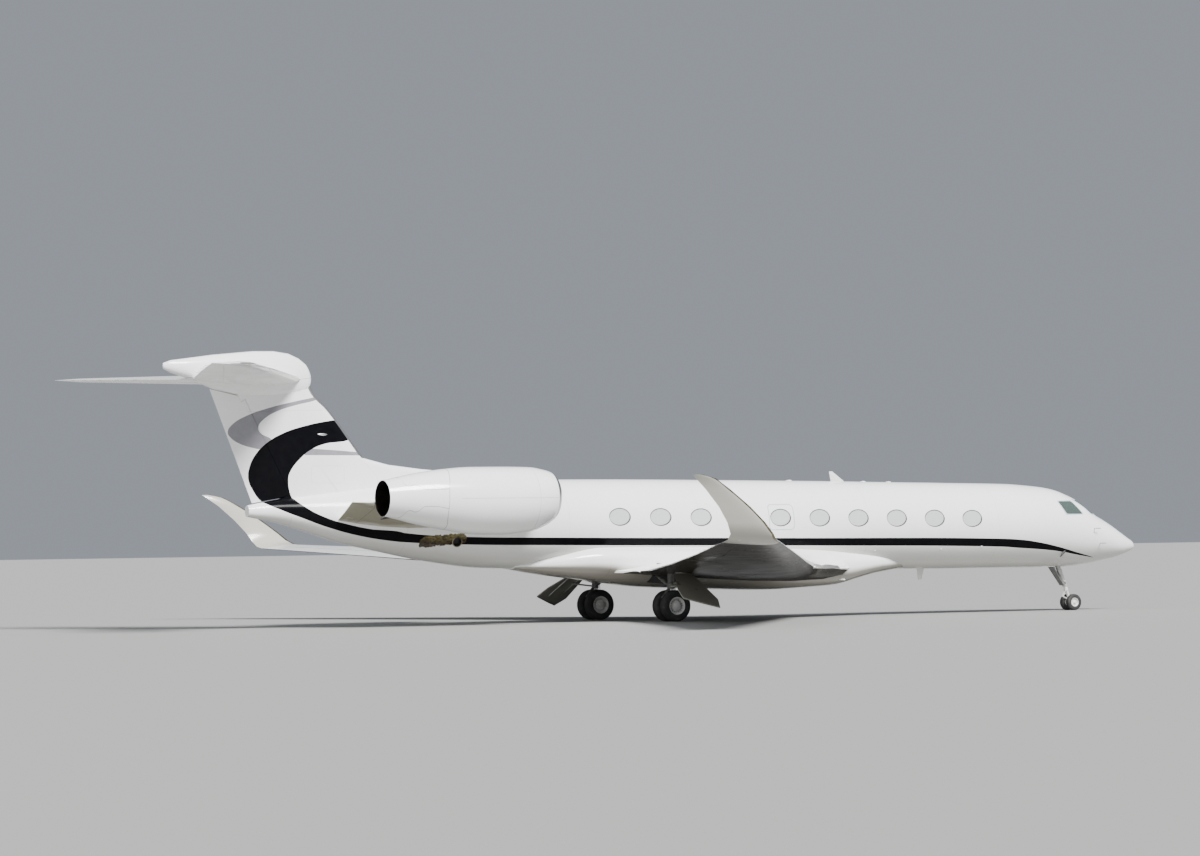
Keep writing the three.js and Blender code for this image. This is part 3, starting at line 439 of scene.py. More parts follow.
def fuselageMasks(point, x, y, z):
    stripes = placeGroup(point.tree, liveryMasks, X=x, Z=z)
    lines = seamsAt(x, fuselageLook["seams"], 0.005)
    lines.append((y > 0.2) * frameLine(x, z, *fuselageLook["baggageDoor"])["Line"])
    ragged = z + (point.noise(3.5, 6.0, 0.7) * 0.34 + (x + 7.7) * -0.06)
    stain = frameLine(x, ragged, *fuselageLook["stain"])["Inside"]
    # Painted shade: the fuselage's downward faces take the pale belly shade tone.
    return {"black": stripes["Black"], "grey": stripes["Grey"], "seam": anyOf(lines),
            "pale": frameLine(x, z, *fuselageLook["exit"])["Line"], "burnt": (y < -0.2) * stain,
            "base": shadedBelow(point.tree, paintTones["paleBellyShade"], -0.3)}


finLook = {
    "front": [(4.2, -9.25), (4.75, -9.7), (6.11, -10.76), (6.5, -11.175), (6.7, -11.3)], "band": 0.13,
    "bareFrom": 4.75,
    "cap": [(-11.35, 6.1), (-13.3, 6.05)], "panel": ((-10.9, 4.3), (0.5, 0.24), 0.05, 0.004),
}


def finMasks(point, x, y, z):
    stripes = placeGroup(point.tree, liveryMasks, X=x, Z=z)
    front = z.line(finLook["front"]) - finLook["band"]
    lines = [z.near(x.line(finLook["cap"]), 0.005) * x.within(-13.3, -11),
             frameLine(x, z, *finLook["panel"])["Line"], x.near(front, 0.006)]
    return {"black": stripes["Black"], "grey": stripes["Grey"],
            "bare": (x > front) * (z > finLook["bareFrom"]),
            "seam": anyOf(lines)}


nacelleLook = {
    "lipEnd": -5.17, "frontSeam": -5.86, "middle": 3.56, "middleEnds": (-8.3, -5.2),
    "foldEnds": (-9.95, -8.65),
    "lipShade": (3.35, 2.95),
    "rearSeam": [(2.5, -8.45), (2.77, -8.534), (3.19, -8.657), (3.62, -8.658), (4.07, -8.566), (4.37, -8.433),
                 (4.6, -8.3)],
    "folds": [[(-9.9, 4.15), (-9.77, 3.91), (-9.6, 3.94), (-9.28, 3.82), (-8.65, 3.83)],
              [(-9.95, 3.04), (-9.87, 3.1), (-9.74, 3.24), (-9.58, 3.2), (-9.32, 3.345), (-8.65, 3.275)]],
}


def nacelleMasks(point, x, y, z):
    lines = [x.near(z.line(nacelleLook["rearSeam"]), 0.009), x.near(nacelleLook["frontSeam"], 0.004),
             z.near(nacelleLook["middle"], 0.005) * x.within(*nacelleLook["middleEnds"])]
    for fold in nacelleLook["folds"]:
        lines.append(z.near(x.line(fold), 0.009) * x.within(*nacelleLook["foldEnds"]))
    # The bare lip is pale on top and near black at its foot, painted shade.
    return {"bare": x > nacelleLook["lipEnd"], "seam": anyOf(lines),
            "bareTone": z.onto(*nacelleLook["lipShade"]).mix(paintTones["lipTop"], paintTones["lipFootShade"])}


fairingLook = {"seams": (6.9, 4.3, 1.4, -2.6), "floorSeam": 1.22, "seamTop": 1.75}


def fairingMasks(point, x, y, z):
    lines = seamsAt(x, fairingLook["seams"], 0.005) + [z.near(fairingLook["floorSeam"], 0.004)]
    # Painted shade: the fairing's downward faces take the darker belly tone.
    return {"seam": anyOf(lines) * (z < fairingLook["seamTop"]),
            "base": shadedBelow(x.tree, paintTones["belly"], 0.0)}


# Front edges as rows of span and x, with a bare band behind them. Inboard of rootEnd the wing is white above.
wingLook = {
    "front": [(1.15, 5.69), (1.45, 5.41), (1.65, 4.89), (1.95, 4.26), (2.33, 3.74), (9.77, -1.46),
              (14.45, -4.74)],
    "band": 0.09, "rootEnd": 1.6, "lobe": [(1.3, 1.385), (1.65, 1.42), (2.0, 1.5), (2.4, 1.7), (3.0, 3.0)],
}
stabLook = {"front": [(0.06, -11.62), (2.8, -13.51), (5.48, -15.42), (5.69, -15.82)], "band": 0.1}
surfaceRibs = (3.9, 6.3, 8.6, 12.0)


def surfaceMasks(look):
    def masks(point, x, y, z):
        span = abs(y)
        edge = span.line(look["front"]) - look["band"]
        bare, seam = x > edge, anyOf([x.near(edge, 0.005)] + seamsAt(span, surfaceRibs, 0.004))
        if "rootEnd" not in look:
            return {"bare": bare, "seam": seam}
        root = look["rootEnd"]
        # Painted shade: outboard of the root, the faces turned down take a near-black shade tone, clouded a
        # little lighter at random.
        below = (facingUp(point.tree) < 0.12) * (z < span.line(look["lobe"])) * (span > root - 0.25)
        above = (span > root + 0.6).mix(white, paintTones["wingAbove"])
        cloud = point.squeezed((1.0, 0.35, 1.0)).noise(0.9, 4.0)
        cloudy = cloud.mix(paintTones["wingUndersideShade"], paintTones["wingUndersideShadeCloud"])
        return {"bare": bare * (span > root) * (below < 0.5), "seam": seam, "base": below.mix(above, cloudy)}
    return masks


tipLook = {
    "wingletFront": [(2.245, -4.74), (2.3, -5.05), (2.46, -5.28), (2.75, -5.6), (3.15, -6.12), (3.6, -6.8),
                     (3.86, -7.27), (3.96, -7.69)], "wingletBand": 0.09,
    "bulletSeam": [(-15.76, 7.1), (-14.9, 6.98), (-13.5, 6.9), (-12.2, 6.93), (-11.4, 7.0)],
    "pylonSeam": -10.3,
}


def wingletMasks(point, x, y, z):
    # The bare front band takes a dark olive tone, a painted reflection of the ground.
    front = z.line(tipLook["wingletFront"]) - tipLook["wingletBand"]
    return {"bare": x > front, "seam": x.near(front, 0.006), "bareTone": paintTones["wingletEdgeReflection"]}


def bulletMasks(point, x, y, z):
    return {"seam": z.near(x.line(tipLook["bulletSeam"]), 0.006)}


def pylonMasks(point, x, y, z):
    # Painted shade: the pylon's downward faces take a dark olive shade tone.
    return {"base": shadedBelow(x.tree, paintTones["shadeOlive"], 0.1),
            "seam": x.near(tipLook["pylonSeam"], 0.006)}


# A thin white spiral on the black spinner
spiral = {"outboard": 2.5, "height": 3.56, "turns": 7.0, "width": 0.13, "reach": 0.15}


def spinnerMasks(point, x, y, z):
    across, up = abs(y) - spiral["outboard"], z - spiral["height"]
    away = (up * up + across * across).step("SQRT")
    phase = (up.step("ARCTAN2", across).step("DIVIDE", math.tau) + away * spiral["turns"]).step("FRACT")
    line = (phase < spiral["width"]) * (away < spiral["reach"])
    return {"base": line.mix(paintTones["spinner"], white)}


# Paints: name, tone, masks, dirt, gloss, coat, seam, specular
for row in (
        ("fuselage_paint", white, fuselageMasks, 0.06, 0.16, 0.16, 0.22, 0.22),
        ("fin_paint", white, finMasks, 0.06, 0.16, 0.16, 0.3, 0.22),
        ("nacelle_paint", white, nacelleMasks, 0.08),
        ("fairing_paint", white, fairingMasks, 0.14, 0.16, 0.3, 0.3),
        ("wing_skin", paintTones["wingAbove"], surfaceMasks(wingLook), 0.1, 0.2, 0.03, 0.65, 0.12),
        ("stabilizer_paint", white, surfaceMasks(stabLook), 0.08),
        ("bullet_paint", white, bulletMasks, 0.06),
        # The winglet's beige tone is its grey paint darkened as painted shade.
        ("winglet_paint", paintTones["wingletShadeBeige"], wingletMasks, 0.1, 0.2),
        ("pylon_paint", white, pylonMasks, 0.1, 0.2),
        ("window_frame_paint", paintTones["frame"], None, 0.2, 0.3, 0.2),
        # The recess tone is painted shade on the window recess walls.
        ("window_recess_paint", paintTones["recess"], None, 0.2, 0.4, 0.1),
        ("spinner_paint", paintTones["spinner"], spinnerMasks, 0.3, 0.25, 0.4),
        ("gear_leg_paint", (0.6, 0.6, 0.58, 1), None, 0.5, 0.3, 0.2),
        ("gear_door_paint", (0.26, 0.25, 0.21, 1), None, 0.4, 0.3, 0.3),
        ("rim_paint_coat", (0.62, 0.62, 0.6, 1), None, 0.7, 0.35, 0.2),
        ("nose_rim_coat", (0.78, 0.78, 0.76, 1), None, 0.5, 0.3, 0.2),
        # The main legs' near-black coat is painted shade.
        ("main_leg_coat", (0.07, 0.07, 0.065, 1), None, 0.6, 0.35, 0.2),
        ("nose_fork_coat", (0.72, 0.72, 0.7, 1), None, 0.6, 0.3, 0.2),
        ("nose_door_coat", (0.2, 0.2, 0.19, 1), None, 0.4, 0.3, 0.2)):
    paintedSkin(*row)


def metalSkin(name, tone, stain, amount, gloss, worn=None):
    shader, point = newMaterial(name, tone)
    brushed = placeGroup(point.tree, brushedMetal, Point=point, Colour=tone, Stain=stain, Amount=amount,
                         Gloss=gloss)
    colour = brushed["Colour"]
    if worn:
        pointiness = addNode(point.tree, "NewGeometry", {}, "Pointiness")
        edges = placeGroup(point.tree, wornEdge, Point=point, Pointiness=pointiness)
        colour = edges["Mask"].mix(colour, worn)
    setShader(shader, {"Base Color": colour, "Roughness": brushed["Roughness"], "Metallic": 1},
              brushed["Height"], 0.0005, 0.3)


def mouldedSkin(name, tone, light, scale, gloss, scuff, depth=0.0006):
    shader, point = newMaterial(name, tone)
    grain = placeGroup(point.tree, mouldedGrain, Point=point, Colour=tone, Light=light, Scale=scale,
                       Gloss=gloss, Scuff=scuff)
    setShader(shader, {"Base Color": grain["Colour"], "Roughness": grain["Roughness"]}, grain["Height"],
              depth, 0.6)


# Metals: name, tone, stain, amount of stain, gloss, worn edges
for row in (
        ("polished_metal", (0.78, 0.78, 0.77, 1), (0.4, 0.37, 0.33, 1), 0.3, 0.12),
        ("gear_steel", (0.5, 0.5, 0.5, 1), (0.2, 0.17, 0.13, 1), 0.6, 0.25, (0.7, 0.7, 0.7, 1)),
        ("outlet_metal", (0.3, 0.25, 0.18, 1), (0.09, 0.07, 0.05, 1), 0.8, 0.35, (0.4, 0.36, 0.3, 1)),
        ("burnt_metal", (0.09, 0.075, 0.065, 1), (0.03, 0.022, 0.018, 1), 0.9, 0.4, (0.25, 0.2, 0.17, 1)),
        ("fan_metal", (0.32, 0.32, 0.34, 1), (0.12, 0.11, 0.1, 1), 0.4, 0.25, (0.6, 0.6, 0.6, 1))):
    metalSkin(*row)
# Rubber, plastic and leather: name, tone, scuffed tone, scale of the grain, gloss, scuff, depth
for row in (
        ("tyre_rubber", (0.018, 0.018, 0.019, 1), (0.1, 0.092, 0.08, 1), 220, 0.72, 0.5),
        ("seal_rubber", (0.03, 0.03, 0.032, 1), (0.12, 0.12, 0.12, 1), 150, 0.6, 0.3),
        ("dark_trim", (0.05, 0.05, 0.053, 1), (0.14, 0.14, 0.14, 1), 90, 0.55, 0.3),
        ("seat_leather", (0.2, 0.165, 0.125, 1), (0.34, 0.29, 0.23, 1), 120, 0.5, 0.5, 0.0012),
        ("cabin_lining", (0.5, 0.48, 0.44, 1), (0.6, 0.58, 0.54, 1), 70, 0.7, 0.3),
        ("piping_leather", (0.09, 0.075, 0.06, 1), (0.2, 0.17, 0.14, 1), 200, 0.5, 0.3),
        ("screen_glass", (0.012, 0.014, 0.018, 1), (0.03, 0.035, 0.04, 1), 400, 0.12, 0.3, 0.0001),
        ("window_seal", (0.06, 0.062, 0.065, 1), (0.12, 0.125, 0.13, 1), 150, 0.6, 0.3),
        ("hose_rubber", (0.025, 0.025, 0.025, 1), (0.09, 0.09, 0.09, 1), 300, 0.55, 0.4)):
    mouldedSkin(*row)

paneLook = {"pale": (0.6, 0.61, 0.615, 1), "fold": (0.46, 0.47, 0.48, 1), "cloud": (0.68, 0.69, 0.7, 1),
            "pleats": 150.0, "glass": ((0.1, 0.15, 0.135, 1), (0.17, 0.22, 0.2, 1)),
            "transmission": 0.6, "glassIndex": 1.5}


# Cabin panes with their blinds drawn: faint pleats behind a clear outer pane
def makeBlindPane():
    shader, point = newMaterial("blind_pane", (0.7, 0.71, 0.71))
    pleat = (point.parts()[2] * paneLook["pleats"]).step("SINE").onto(-1.0, 1.0)
    cloud = point.noise(3.0, 3.0)
    tone = (cloud * 0.3).mix((pleat * 0.35).mix(paneLook["pale"], paneLook["fold"]), paneLook["cloud"])
    setShader(shader, {"Base Color": tone, "Roughness": cloud.onto(0.0, 1.0, 0.1, 0.25), "Coat Weight": 1,
                       "Coat Roughness": 0.03}, pleat, 0.002, 0.3)


def makeCockpitGlass():
    shader, point = newMaterial("cockpit_glass", (0.12, 0.16, 0.15))
    smear = point.squeezed((1.0, 1.0, 4.0)).noise(6.0, 4.0)
    setShader(shader, {"Base Color": smear.mix(*paneLook["glass"]),
                       "Roughness": smear.onto(0.3, 0.8, 0.02, 0.09),
                       "Transmission Weight": paneLook["transmission"], "IOR": paneLook["glassIndex"]})


def makeLens(name, tone):
    shader, point = newMaterial(name, tone)
    ripple = point.noise(60.0, 2.0)
    setShader(shader, {"Base Color": ripple.mix((*tone, 1), (*[item * 0.7 for item in tone], 1)),
                       "Roughness": ripple.onto(0.0, 1.0, 0.04, 0.14), "Coat Weight": 1})


makeBlindPane()
makeCockpitGlass()
for name, tone in (("red_lens", (0.5, 0.02, 0.02)), ("green_lens", (0.01, 0.16, 0.06)),
                   ("clear_lens", (0.75, 0.77, 0.78))):
    makeLens(name, tone)
print("stage: materials")


# Modelling helpers
@contextmanager
def editing(piece):
    takeUp(piece)
    bpy.ops.object.mode_set(mode="EDIT")
    bpy.ops.mesh.select_all(action="SELECT")
    yield
    bpy.ops.object.mode_set(mode="OBJECT")


def pick(kind, test):
    bpy.context.tool_settings.mesh_select_mode = (kind == "verts", kind == "edges", kind == "faces")
    made = bmesh.from_edit_mesh(bpy.context.object.data)
    for items in (made.verts, made.edges, made.faces):
        for item in items:
            item.select = False
    for item in getattr(made, kind):
        if test(item):
            item.select_set(True)
    made.select_flush_mode()
    bmesh.update_edit_mesh(bpy.context.object.data)


def named(piece, name):
    piece.name = piece.data.name = name
    return piece


def applyPlace(piece):
    takeUp(piece)
    bpy.ops.object.transform_apply(location=True, rotation=True, scale=True)
    return piece


def bevelEdges(piece, width, segments=2, test=None):
    with editing(piece):
        pick("edges", test or (lambda edge: len(edge.link_faces) == 2 and edge.calc_face_angle(0) > 0.5))
        bpy.ops.mesh.bevel(offset=width, segments=segments, affect="EDGES")
    return piece


# Bevel of the edges that run along an axis
def bevelAlong(piece, axis, width, segments):
    return bevelEdges(piece, width, segments,
                      lambda edge: abs((edge.verts[0].co - edge.verts[1].co).normalized()[axis]) > 0.9)


def addBox(low, high, bevel=0.0, segments=2):
    clearSelection()
    middle = [(a + b) / 2 for a, b in zip(low, high)]
    bpy.ops.mesh.primitive_cube_add(size=1, location=middle, scale=[b - a for a, b in zip(low, high)])
    piece = applyPlace(bpy.context.object)
    return bevelEdges(piece, bevel, segments) if bevel else piece


def addTube(start, end, radius, sides=24):
    clearSelection()
    start, end = Vector(start), Vector(end)
    along = end - start
    bpy.ops.mesh.primitive_cone_add(vertices=sides, radius1=radius, radius2=radius, depth=along.length,
                                    location=(start + end) / 2,
                                    rotation=along.to_track_quat("Z", "Y").to_euler())
    return applyPlace(bpy.context.object)


def joined(pieces, name):
    clearSelection()
    for piece in pieces:
        piece.select_set(True)
    bpy.context.view_layer.objects.active = pieces[0]
    if len(pieces) > 1:
        bpy.ops.object.join()
    return named(bpy.context.object, name)


def cutWith(piece, tool, operation="DIFFERENCE"):
    takeUp(piece)
    modifier = piece.modifiers.new("cut", "BOOLEAN")
    modifier.object, modifier.operation, modifier.solver = tool, operation, "MANIFOLD"
    bpy.ops.object.modifier_apply(modifier="cut")
    bpy.data.objects.remove(tool)
    return piece


def duplicate(piece, name):
    made = bpy.data.objects.new(name, piece.data.copy())
    bpy.context.scene.collection.objects.link(made)
    return made


def smoothed(piece, angle=30):
    takeUp(piece)
    bpy.ops.object.shade_smooth_by_angle(angle=math.radians(angle))
    return piece


def outward(piece, merge=0.0001):
    with editing(piece):
        bpy.ops.mesh.remove_doubles(threshold=merge)
        bpy.ops.mesh.normals_make_consistent(inside=False)
    return piece


def moved(piece, place, scale=(1, 1, 1)):
    piece.location, piece.scale = place, scale
    return applyPlace(piece)


def mirroredCopy(piece, name, merge=0.0001, place=(0, 0, 0)):
    return outward(moved(duplicate(piece, name), place, (1, -1, 1)), merge)


def dressed(piece, coat, slotName, body="airframe", nodes=()):
    piece.data.materials.clear()
    piece.data.materials.append(coats[coat])
    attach(piece, body)
    if nodes:
        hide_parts(*nodes)
    return piece


# A second material on the faces that pass a test
def paintFaces(piece, coat, test):
    piece.data.materials.append(coats[coat])
    for face in piece.data.polygons:
        if test(face):
            face.material_index = len(piece.data.materials) - 1


def oneRing(x, y, z, half, up, down=None):
    return {"x": x, "y": y, "z": z, "half": half, "up": up, "down": up if down is None else down}


# A closed skin through rings: a circle or rounded square is extruded from station to station
def ringPiece(name, rings, count=96, squareness=None):
    clearSelection()
    upright = (0, math.radians(90), 0)
    if squareness:
        bpy.ops.mesh.primitive_plane_add(size=2, rotation=upright)
    else:
        bpy.ops.mesh.primitive_circle_add(vertices=count, radius=1, fill_type="NGON", rotation=upright)
    piece = applyPlace(bpy.context.object)
    with editing(piece):
        if squareness:
            bpy.ops.mesh.bevel(offset_type="PERCENT", offset_pct=50, segments=count // 4, profile=squareness,
                               affect="VERTICES")
            bpy.ops.mesh.select_all(action="SELECT")
            bpy.ops.mesh.remove_doubles(threshold=0.0001)
        last = {"x": 0, "y": 0, "z": 0, "half": 1, "up": 1, "down": 1}
        for step, ring in enumerate(rings):
            move = [ring[axis] - last[axis] for axis in "xyz"]
            if step == 0:
                bpy.ops.transform.translate(value=move)
            else:
                bpy.ops.mesh.extrude_region_move(TRANSFORM_OT_translate={"value": move})
            middle = (ring["x"], ring["y"], ring["z"])
            lower = ring["down"] / last["down"]
            bpy.ops.transform.resize(value=(1, ring["half"] / last["half"], lower), center_override=middle)
            upper = (ring["up"] / last["up"]) / lower
            if abs(upper - 1) > 1e-6:
                made = bmesh.from_edit_mesh(piece.data)
                cap = [face for face in made.faces if face.select][0]
                for vertex in cap.verts:
                    vertex.select_set(vertex.co.z > ring["z"] + 1e-7)
                made.select_flush_mode()
                bpy.ops.transform.resize(value=(1, 1, upper), center_override=middle)
                made = bmesh.from_edit_mesh(piece.data)
                caps = [face for face in made.faces if len(face.verts) > 8]
                min(caps, key=lambda face: abs(face.verts[0].co.x - ring["x"])).select_set(True)
            last = ring
    return outward(named(piece, name))


# Values between a table's rows, smooth and with no overshoot
def readRow(rows, key):
    place = max(0, min(len(rows) - 2, sum(1 for row in rows[1:] if row[0] < key)))
    first, second = rows[place], rows[place + 1]
    span = second[0] - first[0]
    share = (key - first[0]) / span

    def slope(index, column):
        pairs = [(rows[i], rows[i + 1]) for i in (index - 1, index) if 0 <= i < len(rows) - 1]
        rises = [(b[column] - a[column]) / (b[0] - a[0]) for a, b in pairs]
        if len(rises) == 1:
            return rises[0]
        return 0 if rises[0] * rises[1] <= 0 else 2 * rises[0] * rises[1] / (rises[0] + rises[1])

    found = []
    for column in range(len(first)):
        start, end = slope(place, column) * span, slope(place + 1, column) * span
        found.append(first[column] * (1 + 2 * share) * (1 - share) ** 2 + start * share * (1 - share) ** 2
                     + second[column] * share ** 2 * (3 - 2 * share) + end * share ** 2 * (share - 1))
    return found


# Fuselage in metres: station, crown, keel, half width, height of the widest point
fuselageShape = {
    "rows": [
        (0, 1.975, 1.925, 0.025, 1.95), (0.06, 2.085, 1.87, 0.11, 1.968), (0.33, 2.24, 1.752, 0.3, 2.0),
        (0.69, 2.452, 1.64, 0.49, 2.04), (1.05, 2.664, 1.568, 0.645, 2.11), (1.4, 2.844, 1.512, 0.775, 2.2),
        (1.69, 2.985, 1.46, 0.87, 2.27), (1.94, 3.16, 1.428, 0.94, 2.33), (2.34, 3.43, 1.378, 1.035, 2.4),
        (2.68, 3.582, 1.358, 1.105, 2.45), (3.18, 3.745, 1.347, 1.19, 2.52),
        (3.71, 3.825, 1.346, 1.255, 2.57), (4.94, 3.915, 1.352, 1.33, 2.62), (7.0, 3.955, 1.356, 1.35, 2.65),
        (9.2, 3.992, 1.382, 1.35, 2.68), (12.0, 4.041, 1.44, 1.35, 2.72), (20.2, 4.124, 1.545, 1.35, 2.82),
        (22.82, 4.11, 1.612, 1.27, 2.86), (24.72, 4.05, 1.852, 1.09, 2.96), (26.04, 3.96, 2.116, 0.9, 3.06),
        (27.28, 3.84, 2.387, 0.68, 3.15), (28.51, 3.69, 2.771, 0.45, 3.24), (29.21, 3.6, 2.97, 0.32, 3.29),
        (30.04, 3.45, 3.13, 0.15, 3.29),
    ],
    "radomeEnd": 1.25, "forwardEnd": 5.9, "cabinEnd": 20.6, "tailEnd": 30.04, "joint": 0.0003,
    "hollow": (1.5, 5.95, 0.2),
    "wall": 0.11, "floor": 1.8, "tipStep": 0.06, "noseStep": 0.11, "cabinStep": 0.35, "tailStep": 0.22,
}


def fuselageRings(start, end, step, grow=0.0):
    count = max(1, math.ceil((end - start) / step))
    stations = [start + (end - start) * i / count for i in range(count + 1)]
    if start == 0:
        stations[1:1] = [0.02, 0.05]
    rings = []
    for station in stations:
        _, crown, keel, half, widest = readRow(fuselageShape["rows"], station)
        rings.append(oneRing(noseX - station, 0, widest, half + grow, crown - widest + grow,
                             widest - keel + grow))
    return rings


def skinY(station, height):
    _, crown, keel, half, widest = readRow(fuselageShape["rows"], station)
    semi = crown - widest if height > widest else widest - keel
    return half * math.sqrt(max(0.0, 1 - ((height - widest) / semi) ** 2))


shape = fuselageShape
radome = ringPiece("radome_skin", fuselageRings(0, shape["radomeEnd"], shape["tipStep"]))
dressed(smoothed(radome), "fuselage_paint", "white_paint", nodes=["radome"])
print("stage: radome")


# Prisms that cut the openings: corners across two axes, from low to high on the third
def prism(corners, axis, low, high):
    clearSelection()
    bpy.ops.mesh.primitive_plane_add(size=1)
    piece = bpy.context.object
    for vertex, corner in zip((piece.data.vertices[i] for i in (0, 1, 3, 2)), corners):
        place = list(corner)
        place.insert(axis, low)
        vertex.co = place
    move = [0, 0, 0]
    move[axis] = high - low
    with editing(piece):
        bpy.ops.mesh.extrude_region_move(TRANSFORM_OT_translate={"value": move})
    return outward(piece)


def shrunk(corners, amount):
    middle = Vector((sum(c[0] for c in corners) / 4, sum(c[1] for c in corners) / 4))
    return [tuple(Vector(c) + (middle - Vector(c)).normalized() * amount) for c in corners]


cockpitWindows = {
    "side": [(13.27, 3.36), (13.88, 3.362), (14.2, 2.965), (13.47, 2.965)],
    "front": [(0.045, 2.99), (0.73, 2.96), (0.6, 3.395), (0.045, 3.425)],
    "sideReach": (0.3, 1.5), "frontReach": (13.74, 15.34), "corner": 0.06, "glassThickness": 0.03,
    "seat": 0.0004,
}
entryDoor = {
    "low": (11.64, 0.5, 1.852), "high": (12.59, 1.6, 3.52), "openingCorner": 0.11, "doorCorner": 0.145,
    "gap": 0.008,
    "hinge": (1.0611, 1.86), "knuckleX": (12.45, 11.78), "knuckleRadius": 0.016, "knuckleHalf": 0.035,
    "knuckleRoom": 0.113,
}
noseWell = {"low": (13.18, -0.26, 1.2), "high": (14.04, 0.26, 1.73)}


def windowPrism(kind, side, amount):
    corners = shrunk(cockpitWindows[kind], amount)
    if kind == "side":
        low, high = sorted(side * y for y in cockpitWindows["sideReach"])
        return bevelAlong(prism(corners, 1, low, high), 1, cockpitWindows["corner"], 4)
    piece = prism([(side * y, z) for y, z in corners], 0, *cockpitWindows["frontReach"])
    return bevelAlong(piece, 0, cockpitWindows["corner"], 4)


def doorPrism(amount, corner):
    low, high = ([value + (way * amount if axis != 1 else 0) for axis, value in enumerate(entryDoor[key])]
                 for key, way in (("low", 1), ("high", -1)))
    return bevelAlong(addBox(low, high), 1, corner, 8)


def makeForwardFuselage():
    skin = ringPiece("forward_skin", fuselageRings(shape["radomeEnd"] + shape["joint"], shape["forwardEnd"],
                                                   shape["noseStep"]))
    start, end, step = shape["hollow"]
    hollow = ringPiece("cabin_hollow", fuselageRings(start, end, step, -shape["wall"]), 64)
    with editing(hollow):
        bpy.ops.mesh.bisect(plane_co=(0, 0, shape["floor"]), plane_no=(0, 0, 1), use_fill=True,
                            clear_inner=True)
    glassInner = ringPiece("glass_inner", fuselageRings(1.2, end, shape["noseStep"],
                                                        -cockpitWindows["glassThickness"]))
    glassSkin = cutWith(duplicate(skin, "glass_skin"), glassInner)
    cutWith(skin, hollow)
    door = cutWith(duplicate(skin, "door_skin"), doorPrism(entryDoor["gap"], entryDoor["doorCorner"]),
                   "INTERSECT")
    cutWith(skin, doorPrism(0, entryDoor["openingCorner"]))
    cutWith(skin, addBox(noseWell["low"], noseWell["high"]))
    panes = []
    for kind, node in (("side", "side_window"), ("front", "windshield")):
        for word, side in reversed(sides):
            cutWith(skin, windowPrism(kind, side, 0))
            pane = duplicate(glassSkin, node + "_pane_" + word)
            cutWith(pane, windowPrism(kind, side, cockpitWindows["seat"]), "INTERSECT")
            panes.append((pane, node + "_" + word))
    bpy.data.objects.remove(glassSkin)
    return skin, door, panes


# The lining is the inner wall, which lies nearer the middle than the skin does
lining = {"stations": (1.45, 5.89), "heights": (1.79, 3.84), "floor": 1.803, "deep": 0.06}


def isLining(face):
    station, height = noseX - face.center.x, face.center.z
    (front, rear), (low, high) = lining["stations"], lining["heights"]
    onFloor = height < lining["floor"] and face.normal.z > 0.9
    inside = skinY(station, height) - abs(face.center.y) > lining["deep"] or onFloor
    crown = readRow(fuselageShape["rows"], station)[1]
    return inside and front < station < rear and low < height < high and crown - height > lining["deep"]


forwardSkin, doorSkin, cockpitPanes = makeForwardFuselage()
dressed(smoothed(forwardSkin), "fuselage_paint", "white_paint", nodes=["forward_fuselage"])
paintFaces(forwardSkin, "cabin_lining", isLining)
for pane, node in cockpitPanes:
    dressed(smoothed(pane), "cockpit_glass", "glass", nodes=[node])
print("stage: forward fuselage")


# Entry door with its knuckles, treads and rails on the inside
doorSteps = {"heights": (2.12, 2.39, 2.66, 2.93, 3.2), "tread": 0.2, "thick": 0.025, "halfWidth": 0.33,
             "rail": (2.05, 2.4, 2.8, 3.3), "railRadius": 0.014}


def makeDoor(skin):
    radius, half, room = (entryDoor["knuckle" + key] for key in ("Radius", "Half", "Room"))
    y, z = entryDoor["hinge"]
    for x in entryDoor["knuckleX"]:
        cutWith(skin, addTube((x - room, y, z), (x + room, y, z), radius + entryDoor["gap"]))
    pieces = [skin]
    for x in entryDoor["knuckleX"]:
        pieces.append(addTube((x - half, y, z), (x + half, y, z), radius))
        pieces.append(addBox((x - half, y - 0.06, z + 0.004), (x + half, y, z + 0.03), 0.004))
    return joined(pieces, "door_panel")


def makeDoorSteps():
    pieces = []
    middle = (entryDoor["low"][0] + entryDoor["high"][0]) / 2
    for height in doorSteps["heights"]:
        inner = skinY(noseX - middle, height) - fuselageShape["wall"]
        pieces.append(addBox((middle - doorSteps["halfWidth"], inner - doorSteps["tread"], height),
                             (middle + doorSteps["halfWidth"], inner + 0.03, height + doorSteps["thick"]),
                             0.008, 3))
    for side in (-1, 1):
        x = middle + side * (doorSteps["halfWidth"] + 0.02)
        places = [(x, skinY(noseX - middle, z) - fuselageShape["wall"] - 0.07, z) for z in doorSteps["rail"]]
        pieces += [addTube(start, end, doorSteps["railRadius"], 12) for start, end in zip(places, places[1:])]
    return joined(pieces, "door_treads")


dressed(smoothed(makeDoor(doorSkin)), "fuselage_paint", "white_paint", "door", ["entry_door"])
paintFaces(doorSkin, "cabin_lining", isLining)
dressed(smoothed(makeDoorSteps()), "dark_trim", "trim_plastic", "door")
print("stage: entry door")

# Cabin windows: ten a side, recessed, each with a seal and a pane
cabinWindow = {"first": 6.857, "pitch": 1.345, "count": 10, "long": 0.711, "tall": 0.521, "recess": 0.028,
               "height": 2.861, "rise": 0.0131, "seal": 0.028, "paneLift": 0.006,
               "insets": ((0.0112, 0.004), (0.0168, -0.004), (0.05, 0.003), (0.06, 0.001))}


def windowPlaces():
    for i in range(cabinWindow["count"]):
        station = cabinWindow["first"] + i * cabinWindow["pitch"]
        height = cabinWindow["height"] + (station - cabinWindow["first"]) * cabinWindow["rise"]
        yield station, height


def addOval(station, height, side, low, high, long, tall, sides=56):
    clearSelection()
    bpy.ops.mesh.primitive_cylinder_add(vertices=sides, radius=0.5, depth=abs(high - low),
                                        rotation=(math.radians(90), 0, 0))
    piece = applyPlace(bpy.context.object)
    return moved(piece, (noseX - station, side * (low + high) / 2, height), (long, 1, tall))


